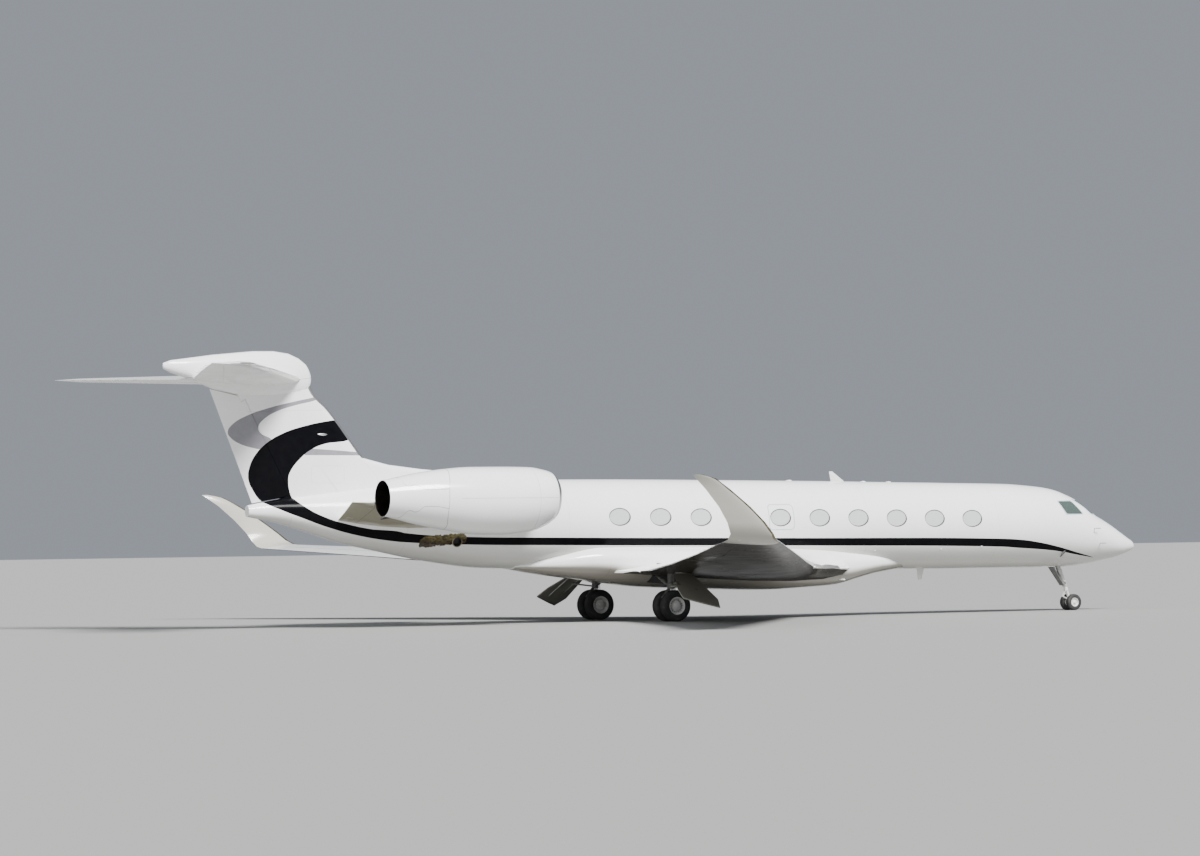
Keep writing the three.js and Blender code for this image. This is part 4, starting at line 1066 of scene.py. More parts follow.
def makeCabin():
    skin = ringPiece("cabin_skin", fuselageRings(shape["forwardEnd"] + shape["joint"], shape["cabinEnd"],
                                                 shape["cabinStep"]))
    cutters = []
    for station, height in windowPlaces():
        inner = skinY(station, height) - cabinWindow["recess"]
        for side in (-1, 1):
            cutters.append(addOval(station, height, side, inner, 1.6, cabinWindow["long"],
                                   cabinWindow["tall"]))
    return cutWith(skin, joined(cutters, "window_cutters"))


def makePanes(side, word):
    panes = []
    for station, height in windowPlaces():
        floor = skinY(station, height) - cabinWindow["recess"]
        pane = addOval(station, height, side, floor + 0.0005, floor + cabinWindow["paneLift"],
                       cabinWindow["long"] - 0.004, cabinWindow["tall"] - 0.004)
        with editing(pane):
            pick("faces", lambda face: face.normal.y * side > 0.9)
            for width, depth in cabinWindow["insets"]:
                bpy.ops.mesh.inset(thickness=width, depth=depth)
        panes.append(pane)
    made = joined(panes, "cabin_panes_" + word)
    dressed(smoothed(made, 40), "window_seal", "trim_plastic")

    def isPane(face):
        station, height = min(windowPlaces(), key=lambda place: abs(noseX - place[0] - face.center.x))
        across = (face.center.x - noseX + station) / (cabinWindow["long"] / 2 - cabinWindow["seal"])
        up = (face.center.z - height) / (cabinWindow["tall"] / 2 - cabinWindow["seal"])
        return across ** 2 + up ** 2 < 1.0

    paintFaces(made, "blind_pane", isPane)


cabinSkin = dressed(smoothed(makeCabin()), "fuselage_paint", "white_paint", nodes=["cabin_fuselage"])
# Painted shade: the window recess walls take a dark grey in place of the white paint.
paintFaces(cabinSkin, "window_recess_paint",
           lambda face: 2.3 < face.center.z < 3.4 and abs(face.normal.x) < 0.9999
           and skinY(noseX - face.center.x, face.center.z) - abs(face.center.y) > 0.006)
for word, side in reversed(sides):
    makePanes(side, word)
print("stage: cabin and panes")

aftSkin = ringPiece("aft_skin", fuselageRings(shape["cabinEnd"] + shape["joint"], shape["tailEnd"],
                                              shape["tailStep"]))
dressed(smoothed(aftSkin), "fuselage_paint", "white_paint", nodes=["aft_fuselage"])

# Belly fairing in metres: station, bottom, half width, top
fairingShape = {
    "rows": [
        (8.35, 1.425, 0.3, 1.8), (9.0, 1.358, 0.64, 1.85), (9.46, 1.3, 0.84, 1.89), (9.93, 1.225, 1.0, 1.93),
        (10.63, 1.07, 1.2, 1.98), (11.29, 0.925, 1.35, 2.04), (12.0, 0.88, 1.49, 2.09),
        (13.54, 0.825, 1.59, 2.16), (15.58, 0.885, 1.61, 2.22), (17.6, 0.976, 1.58, 2.26),
        (19.45, 1.21, 1.44, 2.28), (20.88, 1.392, 1.05, 2.0), (21.9, 1.56, 0.4, 1.7),
    ],
    "step": 0.2, "squareness": 0.587,
}
gearBay = {"low": (-1.26, 1.1, 0.7), "high": (-0.41, 2.45, 1.48)}


def makeFairing():
    rows = fairingShape["rows"]
    count = math.ceil((rows[-1][0] - rows[0][0]) / fairingShape["step"])
    rings = []
    for i in range(count + 1):
        station, bottom, half, top = readRow(rows, rows[0][0] + (rows[-1][0] - rows[0][0]) * i / count)
        rings.append(oneRing(noseX - station, 0, (top + bottom) / 2, half, (top - bottom) / 2))
    skin = ringPiece("fairing_skin", rings, 96, fairingShape["squareness"])
    for side in (-1, 1):
        low, high = list(gearBay["low"]), list(gearBay["high"])
        low[1], high[1] = sorted((side * low[1], side * high[1]))
        cutWith(skin, addBox(low, high))
    return skin


def inBay(face):
    low, high = gearBay["low"], gearBay["high"]
    return low[0] - 0.003 < face.center.x < high[0] + 0.003 and face.center.z > 0.9 and (
        low[1] - 0.003 < abs(face.center.y) < high[1] + 0.003) and max(abs(n) for n in face.normal) > 0.999


fairingSkin = dressed(smoothed(makeFairing()), "fairing_paint", "white_paint", nodes=["belly_fairing"])
# Painted shade: the gear bay's walls take the near-black trim so the well reads dark.
paintFaces(fairingSkin, "dark_trim", inBay)
print("stage: belly fairing")


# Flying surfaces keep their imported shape: the copy is merged and shaded smooth
def carried(node, name, coat, slotName, body="airframe", angle=25):
    made = named(duplicate(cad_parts[node], name), name)
    with editing(made):
        bpy.ops.mesh.remove_doubles(threshold=0.00005)
        bpy.ops.mesh.delete_loose()
    smoothed(made, angle)
    made.modifiers.new("even_shade", "WEIGHTED_NORMAL").keep_sharp = True
    bpy.ops.object.modifier_apply(modifier="even_shade")
    return dressed(made, coat, slotName, body, [node])


carried("fin", "fin_skin", "fin_paint", "white_paint")
carried("rudder", "rudder_skin", "fin_paint", "white_paint", "rudder_panel")
carried("bullet_fairing", "bullet_skin", "bullet_paint", "white_paint", "airframe", 40)
for word, side in sides:
    # Painted shade: the wing's faces in the gear bay take the near-black trim.
    paintFaces(carried("wing_" + word, "wing_skin_" + word, "wing_skin", "wing_paint"), "dark_trim", inBay)
    for kind, coat, slotName, body, angle in (
            ("flap", "wing_skin", "wing_paint", "airframe", 25),
            ("aileron", "wing_skin", "wing_paint", "aileron_panel_" + word, 25),
            ("winglet", "winglet_paint", "grey_paint", "airframe", 35),
            ("stabilizer", "stabilizer_paint", "white_paint", "airframe", 25),
            ("elevator", "stabilizer_paint", "white_paint", "elevator_panel_" + word, 25),
            ("pylon", "pylon_paint", "white_paint", "airframe", 35)):
        carried(kind + "_" + word, kind + "_skin_" + word, coat, slotName, body, angle)
print("stage: flying surfaces")

# Nacelle and its duct in metres: station, radius, height of the middle
nacelleShape = {
    "rows": [
        (21.765, 0.572, 3.605), (21.772, 0.6, 3.604), (21.795, 0.635, 3.602), (21.91, 0.718, 3.59),
        (22.09, 0.795, 3.565), (22.54, 0.905, 3.53), (23.43, 0.95, 3.5), (24.31, 0.94, 3.508),
        (25.18, 0.85, 3.545), (26.04, 0.715, 3.572), (26.83, 0.545, 3.59), (27.06, 0.503, 3.588),
    ],
    "duct": [
        (21.6, 0.6, 3.605), (21.76, 0.573, 3.605), (21.775, 0.556, 3.603), (21.805, 0.548, 3.602),
        (22.02, 0.552, 3.585), (22.3, 0.62, 3.56), (26.05, 0.62, 3.56), (26.5, 0.56, 3.572),
        (27.16, 0.488, 3.588),
    ],
    "outboard": 2.5, "height": 3.56, "step": 0.12, "ductStep": 0.11, "sides": 80,
    "linings": (("burnt_metal", -12, -7), ("polished_metal", -5.6, 0), ("dark_trim", -7, -5.6)),
}


def nacelleRings(rows, step):
    stations = sorted({row[0] for row in rows} | {rows[0][0] + step * i for i in range(1, 60)
                                                  if rows[0][0] + step * i < rows[-1][0] - 0.02})
    rings = []
    for station in stations:
        _, radius, middle = readRow(rows, station)
        rings.append(oneRing(noseX - station, nacelleShape["outboard"], middle, radius, radius))
    return rings


def inDuct(face):
    away = math.hypot(abs(face.center.y) - nacelleShape["outboard"], face.center.z - nacelleShape["height"])
    facing = face.normal.y * (1 if face.center.y > 0 else -1)
    inward = (abs(face.center.y) - nacelleShape["outboard"]) * facing
    inward += (face.center.z - nacelleShape["height"]) * face.normal.z
    return away < 0.63 and inward < -0.2 * away


def makeNacelle():
    count = nacelleShape["sides"]
    skin = ringPiece("nacelle_skin_left", nacelleRings(nacelleShape["rows"], nacelleShape["step"]), count)
    duct = ringPiece("duct", nacelleRings(nacelleShape["duct"], nacelleShape["ductStep"]), count)
    return cutWith(skin, duct)


nacelleLeft = makeNacelle()
nacelleRight = mirroredCopy(nacelleLeft, "nacelle_skin_right")
for piece, word in ((nacelleLeft, "left"), (nacelleRight, "right")):
    dressed(smoothed(piece), "nacelle_paint", "white_paint", nodes=["nacelle_" + word])
    for coat, rear, front in nacelleShape["linings"]:
        paintFaces(piece, coat, lambda face: inDuct(face) and rear <= face.center.x < front)
print("stage: nacelles")


fineMerge = 0.00005


# A closed profile of [radius, along] turned about an axle along Y or X
def turnedPiece(name, profile, centre, steps=64, axis="y"):
    clearSelection()
    bpy.ops.mesh.primitive_circle_add(vertices=len(profile), radius=1, fill_type="NOTHING")
    piece = applyPlace(bpy.context.object)
    for vertex, (radius, along) in zip(piece.data.vertices, profile):
        move = (0, along, radius) if axis == "y" else (along, 0, radius)
        vertex.co = Vector(centre) + Vector(move)
    with editing(piece):
        bpy.ops.mesh.spin(steps=steps, angle=math.tau, center=centre,
                          axis=(0, 1, 0) if axis == "y" else (1, 0, 0))
    return outward(named(piece, name), fineMerge)


# Copies round an axle along Y or X, each with its own mesh, joined to the first
def ringOf(piece, count, centre, axis="Y"):
    copies = [piece]
    for i in range(1, count):
        made = duplicate(piece, piece.name)
        made.data.transform(Matrix.Translation(centre) @ Matrix.Rotation(math.tau * i / count, 4, axis)
                            @ Matrix.Translation(-Vector(centre)))
        copies.append(made)
    return joined(copies, piece.name)


# Hose or pipe along a smooth path
def hosePiece(name, places, radius, sides=5):
    clearSelection()
    bpy.ops.curve.primitive_bezier_curve_add(location=(0, 0, 0))
    path = bpy.context.object
    path.data.dimensions = "3D"
    points = path.data.splines[0].bezier_points
    points.add(len(places) - len(points))
    for point, place in zip(points, places):
        point.co = place
        point.handle_left_type = point.handle_right_type = "AUTO"
    path.data.bevel_depth, path.data.bevel_resolution, path.data.resolution_u = radius, sides, 8
    path.data.use_fill_caps = True
    takeUp(path)
    bpy.ops.object.convert(target="MESH")
    return outward(named(applyPlace(bpy.context.object), name), fineMerge)


mainWheel = {
    "x": -1.11, "y": 2.29, "z": 0.45, "offset": 0.232, "rim": 0.255, "tyre": 0.45, "half": 0.1425,
    "grooves": (-0.068, -0.023, 0.023, 0.068), "groove": (0.0065, 0.01), "vents": 16, "ventPlace": 0.177,
    "ventSize": (0.026, 0.038), "nutPlace": 0.126, "hub": 0.085, "axle": 0.0556,
}
noseWheel = {
    "x": 14.34, "y": 0.0, "z": 0.25, "offset": 0.165, "rim": 0.132, "tyre": 0.25, "half": 0.0825,
    "grooves": (-0.035, 0.0, 0.035), "groove": (0.004, 0.007), "vents": 10, "ventPlace": 0.093,
    "ventSize": (0.012, 0.016), "nutPlace": 0.065, "hub": 0.05, "axle": 0.0386,
}


# Tyre: share of its rise, share of its half width. Rim: which radius, share of it, share of the half width.
tyreSide = [(0, 0.84), (0.1, 0.93), (0.22, 0.985), (0.42, 1.0), (0.62, 0.975), (0.78, 0.91), (0.89, 0.81),
            (0.96, 0.7), (0.99, 0.6)]
rimRows = [
    ("axle", 1, -0.55), ("hub", 1, -0.55), ("hub", 1, -0.3), ("rim", 0.8, -0.2), ("rim", 0.86, -0.5),
    ("rim", 0.9, -0.85), ("rim", 0.95, -0.87), ("rim", 1, -0.86), ("rim", 1, 0.86), ("rim", 0.97, 0.89),
    ("rim", 0.93, 0.87), ("rim", 0.9, 0.8), ("rim", 0.885, 0.6), ("rim", 0.86, 0.52), ("rim", 0.8, 0.48),
    ("rim", 0.56, 0.42), ("rim", 0.5, 0.46), ("hub", 1.12, 0.5), ("hub", 1, 0.72), ("hub", 0.82, 0.78),
    ("axle", 1, 0.78),
]


def makeTyre(wheel):
    rim, tread, half = wheel["rim"] + 0.0003, wheel["tyre"], wheel["half"]
    rise = tread - rim
    width, depth = wheel["groove"]
    side = [(rim + rise * share, wide) for share, wide in tyreSide]
    profile = [(radius, -half * share) for radius, share in side]
    for groove in wheel["grooves"]:
        profile += [(tread, groove - width), (tread - depth, groove - width * 0.75),
                    (tread - depth, groove + width * 0.75), (tread, groove + width)]
    profile += [(radius, half * share) for radius, share in reversed(side)]
    return turnedPiece("tyre_first", profile, (0, 0, 0), 72)


def makeRim(wheel):
    half, axle = wheel["half"], wheel["axle"]
    profile = [(wheel[key] * share, half * along) for key, share, along in rimRows]
    piece = turnedPiece("rim_disc", profile, (0, 0, 0), 80)
    across, up = wheel["ventSize"]
    vent = addTube((0, -half, wheel["ventPlace"]), (0, half * 1.2, wheel["ventPlace"]), 1, 20)
    vent.data.transform(Matrix.Translation((0, 0, wheel["ventPlace"])) @ Matrix.Diagonal((across, 1, up, 1))
                        @ Matrix.Translation((0, 0, -wheel["ventPlace"])))
    cutWith(piece, ringOf(vent, wheel["vents"], (0, 0, 0)))
    nut = addTube((0, half * 0.4, wheel["nutPlace"]), (0, half * 0.56, wheel["nutPlace"]),
                  wheel["rim"] * 0.03, 6)
    bevelEdges(nut, 0.0012, 1)
    nuts = ringOf(nut, wheel["vents"], (0, 0, 0))
    cap = turnedPiece("hub_cap", [(0.004, half * 0.7), (axle * 0.96, half * 0.7), (axle * 0.96, half * 0.84),
                                  (axle * 0.8, half * 0.92), (axle * 0.3, half * 0.95),
                                  (0.004, half * 0.955)],
                      (0, 0, 0), 32)
    return joined([piece, nuts, cap], "rim_first")


def makeWheels(wheel, gear, coat, rows):
    tyre, rim = smoothed(makeTyre(wheel), 35), smoothed(makeRim(wheel), 35)
    for place, y, outwardSide, body in rows:
        where = (wheel["x"], y, wheel["z"])
        made = moved(duplicate(tyre, gear + "_tyre_ring" + place), where)
        dressed(made, "tyre_rubber", "tyre", body, [gear + "_tyre" + place])
        name = gear + "_rim_disc" + place
        if outwardSide > 0:
            made = moved(duplicate(rim, name), where)
        else:
            made = mirroredCopy(rim, name, fineMerge, where)
        dressed(made, coat, "rim_paint", body, [gear + "_rim" + place])
    bpy.data.objects.remove(tyre)
    bpy.data.objects.remove(rim)


mainRows = []
for word, side in sides:
    for place, step in (("outer", 1), ("inner", -1)):
        y = side * (mainWheel["y"] + step * mainWheel["offset"])
        mainRows.append(("_" + place + "_" + word, y, side * step, "main_wheels_" + word))
makeWheels(mainWheel, "main", "rim_paint_coat", mainRows)
makeWheels(noseWheel, "nose", "nose_rim_coat", [
    ("_left", noseWheel["offset"], 1, "nose_wheels"), ("_right", -noseWheel["offset"], -1, "nose_wheels")])
print("stage: wheels")


# Fans: one blade drawn out and twisted, copied round the spinner
fanShape = {
    "station": 22.45, "tip": 0.6, "hub": 0.165, "blades": 22, "chord": 0.15, "tipChord": 0.23, "thick": 0.012,
    "rootTurn": 32, "tipTurn": 60, "steps": 7, "sweep": 0.035,
    "spinner": [(0.004, 0.292), (0.03, 0.284), (0.06, 0.262), (0.095, 0.215), (0.13, 0.155), (0.158, 0.08),
                (0.175, 0.01), (0.18, -0.05), (0.178, -0.12), (0.004, -0.12)],
}


def makeBlade():
    clearSelection()
    centre = (noseX - fanShape["station"], 0, 0)
    bpy.ops.mesh.primitive_cube_add(size=1, location=(centre[0], 0, fanShape["hub"] - 0.01),
                                    scale=(fanShape["thick"], fanShape["chord"], 0.02),
                                    rotation=(0, 0, math.radians(fanShape["rootTurn"])))
    piece = applyPlace(bpy.context.object)
    rise = (fanShape["tip"] - fanShape["hub"]) / fanShape["steps"]
    turn = math.radians(fanShape["tipTurn"] - fanShape["rootTurn"]) / fanShape["steps"]
    grow = (fanShape["tipChord"] / fanShape["chord"]) ** (1 / fanShape["steps"])
    with editing(piece):
        pick("faces", lambda face: face.normal.z > 0.9)
        for i in range(fanShape["steps"]):
            bow = fanShape["sweep"] * (0.5 - abs((i + 0.5) / fanShape["steps"] - 0.5)) * (1 if i < 3 else -1)
            bpy.ops.mesh.extrude_region_move(TRANSFORM_OT_translate={"value": (bow, 0, rise)})
            middle = (centre[0], 0, fanShape["hub"] + rise * (i + 1))
            bpy.ops.transform.rotate(value=-turn, orient_axis="Z", center_override=middle)
            bpy.ops.transform.resize(value=(grow * 0.98, grow, 1), center_override=middle)
    return bevelEdges(piece, 0.003, 2, lambda edge: abs(edge.calc_face_angle(0)) > 1.0)


def makeFan(word, side):
    where = (noseX - fanShape["station"], side * nacelleShape["outboard"], nacelleShape["height"])
    blade = moved(makeBlade(), (0, where[1], where[2]))
    blades = smoothed(ringOf(blade, fanShape["blades"], where, "X"), 40)
    dressed(blades, "fan_metal", "dark_metal", "engine_fan_" + word, ["fan_" + word])
    blades.name = "fan_blades_" + word
    spinner = turnedPiece("fan_spinner_" + word, fanShape["spinner"], where, 48, "x")
    dressed(smoothed(spinner), "spinner_paint", "dark_metal", "engine_fan_" + word)


engineCore = {
    "vanes": 18, "lobes": 24,
    "vane": ((22.79, 0.28), (22.63, 0.61), 0.008), "mixer": ((26.12, 0.33), (25.7, 0.53), 0.022),
    "body": [(0.004, 22.8), (0.3, 22.8), (0.34, 22.86), (0.6097, 22.86), (0.6197, 22.88), (0.6197, 25.91),
             (0.56, 25.93), (0.5, 25.65), (0.4, 25.65), (0.33, 25.95), (0.004, 25.95)],
    "cone": [(0.33, 25.9), (0.33, 25.96), (0.31, 26.1), (0.25, 26.35), (0.17, 26.55), (0.09, 26.69),
             (0.004, 26.74), (0.004, 25.9)],
    "shaft": [(0.004, 22.578), (0.09, 22.578), (0.09, 22.82), (0.004, 22.82)],
}


def makeCore(word, side):
    where = (0, side * nacelleShape["outboard"], nacelleShape["height"])
    turned = []
    for key, steps in (("body", 64), ("cone", 48), ("shaft", 32)):
        rows = [(radius, noseX - station) for radius, station in engineCore[key]]
        turned.append(turnedPiece("core_" + key, rows, where, steps, "x"))
    for key, count, *bevel in (("vane", "vanes", 0.004), ("mixer", "lobes", 0.015, 3)):
        (front, low), (rear, high), half = engineCore[key]
        blade = addBox((noseX - front, -half, low), (noseX - rear, half, high), *bevel)
        turned.append(ringOf(moved(blade, (0, where[1], where[2])), engineCore[count], where, "X"))
    made = joined(turned, "engine_core_" + word)
    dressed(smoothed(made, 35), "burnt_metal", "dark_metal", nodes=["engine_block_" + word])


for word, side in sides:
    makeFan(word, side)
    makeCore(word, side)
print("stage: engines")


# Swings a piece that lies along X into a direction, and takes it to its place
def aimed(piece, place, direction):
    piece.data.transform(Matrix.Translation(place) @ direction.to_track_quat("X", "Z").to_matrix().to_4x4())
    return piece


# A turned rod from one place to another: rows of share of its length and radius
def rodPiece(name, start, end, rows, steps=24):
    start, end = Vector(start), Vector(end)
    length = (end - start).length
    profile = [(0.0006, rows[0][0] * length)] + [(radius, share * length) for share, radius in rows]
    profile.append((0.0006, rows[-1][0] * length))
    return aimed(turnedPiece(name, profile, (0, 0, 0), steps, "x"), start, end - start)


def plainRod(name, start, end, radius, steps=16):
    rows = [(0, radius * 0.8), (0.01, radius), (0.99, radius), (1, radius * 0.8)]
    return rodPiece(name, start, end, rows, steps)


# Main legs: cylinder with collars, bright piston, links, stay, brakes and hoses
mainLegShape = {
    "x": -1.11, "y": 2.29, "top": 1.4, "bottom": 0.935, "axleZ": 0.45, "axleReach": 0.33,
    "links": (0.965, 0.52),
    "cups": 7, "hoseRadius": 0.0085,
    "foot": [(0, 0.07), (0.1, 0.079), (0.9, 0.079), (1, 0.06)],
    "piston": [(0, 0.068), (0.02, 0.086), (0.1, 0.086), (0.12, 0.068), (1, 0.068)],
    "cylinder": [(0, 0.1), (0.3, 0.1), (0.31, 0.107), (0.38, 0.107), (0.39, 0.1), (0.84, 0.1), (0.85, 0.108),
                 (0.98, 0.108), (1, 0.1)],
    "axle": [(0, 0.04), (0.01, 0.052), (0.36, 0.055), (0.37, 0.078), (0.63, 0.078), (0.64, 0.055),
             (0.99, 0.052), (1, 0.04)],
    "stay": [(0, 0.03), (0.05, 0.045), (0.44, 0.045), (0.46, 0.055), (0.54, 0.055), (0.56, 0.038),
             (1, 0.038)],
    "knee": (-1.4, 0.7), "stayFoot": 1.01, "stayHead": (1.4, 1.33), "brake": (0.028, 0.078, 0.19),
    "hoses": [[(-1.0, 0.05, 1.36), (-0.985, 0.05, 1.1), (-0.99, 0.045, 0.85), (-1.02, 0.05, 0.62),
               (-1.04, 0.05, 0.55)],
              [(-1.0, -0.05, 1.36), (-0.99, -0.05, 1.08), (-0.975, -0.04, 0.84), (-1.02, -0.05, 0.64),
               (-1.04, -0.05, 0.55)]],
}


def makeMainLeg():
    leg = mainLegShape
    x, y, reach = leg["x"], leg["y"], leg["axleReach"]
    painted = [
        rodPiece("cylinder", (x, y, leg["top"]), (x, y, leg["bottom"]), leg["cylinder"], 32),
        rodPiece("axle_beam", (x, y - reach, leg["axleZ"]), (x, y + reach, leg["axleZ"]), leg["axle"], 32),
        rodPiece("foot", (x, y, 0.6), (x, y, 0.4), leg["foot"], 28),
        rodPiece("stay", (x, y - 0.05, leg["stayFoot"]), (x, *leg["stayHead"]), leg["stay"], 20),
    ]
    kneeX, kneeZ = leg["knee"]
    for height in leg["links"]:
        for side in (-1, 1):
            painted.append(plainRod("link", (x - 0.06, y + side * 0.062, height),
                                    (kneeX, y + side * 0.026, kneeZ), 0.019))
        web = prism([(x - 0.08, height - 0.02), (x - 0.08, height + 0.02), (kneeX + 0.02, kneeZ + 0.01),
                     (kneeX + 0.02, kneeZ - 0.01)], 1, y - 0.034, y + 0.034)
        painted.append(bevelEdges(web, 0.004, 2))
    painted.append(plainRod("knee_pin", (kneeX, y - 0.055, kneeZ), (kneeX, y + 0.055, kneeZ), 0.017))
    low, high, radius = leg["brake"]
    for side in (-1, 1):
        rows = [(0.06, low), (radius * 0.9, low), (radius, low + 0.008), (radius, high - 0.004),
                (radius * 0.96, high), (0.06, high)]
        plate = turnedPiece("brake", [(around, side * out) for around, out in rows], (x, y, leg["axleZ"]), 48)
        cupZ = leg["axleZ"] + 0.13
        cup = plainRod("cup", (x, y + side * 0.006, cupZ), (x, y + side * (low + 0.004), cupZ), 0.028)
        painted += [plate, ringOf(cup, leg["cups"], (x, y, leg["axleZ"]))]
    body = smoothed(joined(painted, "main_leg_frame_left"), 35)
    piston = rodPiece("main_leg_piston_left", (x, y, 0.95), (x, y, 0.56), leg["piston"], 32)
    hoses = [hosePiece("hose", [(px, y + py, pz) for px, py, pz in places], leg["hoseRadius"], 3)
             for places in leg["hoses"]]
    return body, smoothed(piston, 35), smoothed(joined(hoses, "main_leg_hoses_left"), 60)


# The main leg frame takes a near-black coat as painted shade.
legCoats = (("main_leg_coat", "gear_paint"), ("gear_steel", "gear_paint"), ("hose_rubber", "trim_plastic"))
for made, (coat, slotName) in zip(makeMainLeg(), legCoats):
    other = mirroredCopy(made, made.name.replace("left", "right"))
    for piece, word in ((made, "left"), (smoothed(other, 35), "right")):
        dressed(piece, coat, slotName, nodes=["main_leg_" + word] if "frame" in piece.name else [])

# Main gear doors with a hinge line and stiffeners on the inner face
mainDoorShape = {"top": (3.08, 1.395), "slope": 0.5, "hinge": (-0.92, -1.42), "knuckles": 9,
                 "ribs": (-1.05, -1.45),
                 "ribReach": (3.2, 4.35, -0.042)}


def makeDoorRibs(side, word):
    topY, topZ = mainDoorShape["top"]

    def onPlate(x, y, lift):
        return (x, side * y, topZ - (y - topY) * mainDoorShape["slope"] + lift)

    start, end = mainDoorShape["hinge"]
    step = (end - start) / mainDoorShape["knuckles"]
    pieces = [plainRod("knuckle", onPlate(start + step * i, topY + 0.02, 0.01),
                       onPlate(start + step * (i + 0.86), topY + 0.02, 0.01), 0.014, 12)
              for i in range(mainDoorShape["knuckles"])]
    ribStart, ribEnd, lift = mainDoorShape["ribReach"]
    for x in mainDoorShape["ribs"]:
        pieces.append(plainRod("rib", onPlate(x, ribStart, lift), onPlate(x - 0.12, ribEnd, lift), 0.016, 8))
    return joined(pieces, "gear_door_ribs_" + word)


for word, side in sides:
    carried("main_leg_door_" + word, "gear_door_plate_" + word, "gear_door_paint", "grey_paint")
    dressed(smoothed(makeDoorRibs(side, word), 40), "gear_steel", "grey_paint")
print("stage: main legs")

# Nose leg on its raked line, with the steered links and fork below
noseLegShape = {
    "top": (13.74, 0, 1.715), "axle": (14.34, 0, 0.25), "axleReach": 0.22,
    "trunnionPlace": (13.78, 0.2585, 1.56),
    "hoses": ((0.1, 0.0), (0.25, 0.02), (0.4, 0.0), (0.53, 0.02), (0.6, -0.01)), "hoseRadius": 0.008,
    "cylinder": [(0.01, 0.06), (0.02, 0.072), (0.3, 0.072), (0.31, 0.08), (0.38, 0.08), (0.39, 0.072),
                 (0.57, 0.072), (0.58, 0.084), (0.65, 0.084), (0.659, 0.074)],
    "piston": [(0.6608, 0.05), (0.69, 0.05), (0.7, 0.062), (0.75, 0.062), (0.76, 0.048), (0.86, 0.048),
               (0.87, 0.06), (0.97, 0.066), (1.02, 0.05)],
    "axleRows": [(0, 0.024), (0.01, 0.034), (0.37, 0.038), (0.38, 0.058), (0.62, 0.058), (0.63, 0.038),
                 (0.99, 0.034), (1, 0.024)],
    "trunnion": [(0, 0.024), (0.01, 0.03), (0.3, 0.03), (0.32, 0.045), (0.68, 0.045), (0.7, 0.03),
                 (0.99, 0.03), (1, 0.024)],
    "ram": [(0, 0.022), (0.5, 0.022), (0.52, 0.03), (0.98, 0.03), (1, 0.02)],
    "knee": (-0.2, 0.83), "linkShares": (0.725, 0.93),
}


def onNoseLeg(share, aft=0.0, y=0.0):
    top, axle = Vector(noseLegShape["top"]), Vector(noseLegShape["axle"])
    along = (axle - top).normalized()
    return top.lerp(axle, share) + Vector((along.z, 0, -along.x)) * -aft + Vector((0, y, 0))


def makeNoseLeg():
    leg = noseLegShape
    line = (leg["top"], leg["axle"])
    x, reach, z = leg["trunnionPlace"]
    painted = [
        rodPiece("cylinder", *line, leg["cylinder"], 32),
        rodPiece("trunnion", (x, -reach, z), (x, reach, z), leg["trunnion"]),
    ]
    for side in (-1, 1):
        painted.append(rodPiece("steering_ram", onNoseLeg(0.615, 0.02, side * 0.06),
                                onNoseLeg(0.54, -0.03, side * 0.15), leg["ram"], 16))
    fixed = smoothed(joined(painted, "nose_leg_frame"), 35)
    dressed(fixed, "gear_leg_paint", "gear_paint", nodes=["nose_leg"])
    hoses = [hosePiece("hose", [onNoseLeg(share, -0.09 - bow, y) for share, bow in leg["hoses"]],
                       leg["hoseRadius"], 3) for y in (-0.035, 0.03)]
    dressed(smoothed(joined(hoses, "nose_leg_hoses"), 60), "hose_rubber", "trim_plastic")
    aft, kneeShare = leg["knee"]
    (x, _, z), reach = leg["axle"], leg["axleReach"]
    steered = [
        rodPiece("piston", *line, leg["piston"], 32),
        rodPiece("axle_beam", (x, -reach, z), (x, reach, z), leg["axleRows"], 28),
        plainRod("knee_pin", onNoseLeg(kneeShare, aft, -0.04), onNoseLeg(kneeShare, aft, 0.04), 0.013),
    ]
    for share in leg["linkShares"]:
        for side in (-1, 1):
            steered.append(plainRod("link", onNoseLeg(share, -0.04, side * 0.045),
                                    onNoseLeg(kneeShare, aft, side * 0.02), 0.013))
    fork = smoothed(joined(steered, "nose_fork_frame"), 35)
    dressed(fork, "nose_fork_coat", "bare_metal", "nose_steering_leg", ["nose_fork"])


makeNoseLeg()
carried("nose_leg_door", "nose_door_plate", "nose_door_coat", "grey_paint")
print("stage: nose leg")


# Pilot seats: shell, stuffed cushions with sewn channels and piping
cushionLook = {"voxel": 0.013, "pressure": 4.0, "frames": 20, "cap": 0.018, "inset": 0.012, "channel": 0.007,
               "channelWidth": 0.011, "channels": (0.25, 0.5, 0.75), "piping": 0.006}
seatParts = {
    "cushions": {
        "pad": ((13.37, 0.25, 2.16), (13.86, 0.67, 2.31), 2, 1),
        "back": ((13.235, 0.25, 2.32), (13.33, 0.67, 2.78), 0, 1),
        "rest": ((13.225, 0.34, 2.82), (13.315, 0.58, 3.0), 0, 1),
    },
    "shell": [((13.36, 0.28, 1.802), (13.82, 0.64, 1.86)), ((13.4, 0.36, 1.85), (13.76, 0.56, 2.1)),
              ((13.34, 0.26, 2.08), (13.85, 0.66, 2.165)), ((13.202, 0.25, 1.95), (13.236, 0.67, 2.8)),
              ((13.204, 0.4, 2.78), (13.228, 0.52, 2.98))],
    "arms": [((13.26, 0.232, 2.44), (13.6, 0.262, 2.49)), ((13.26, 0.658, 2.44), (13.6, 0.688, 2.49))],
}


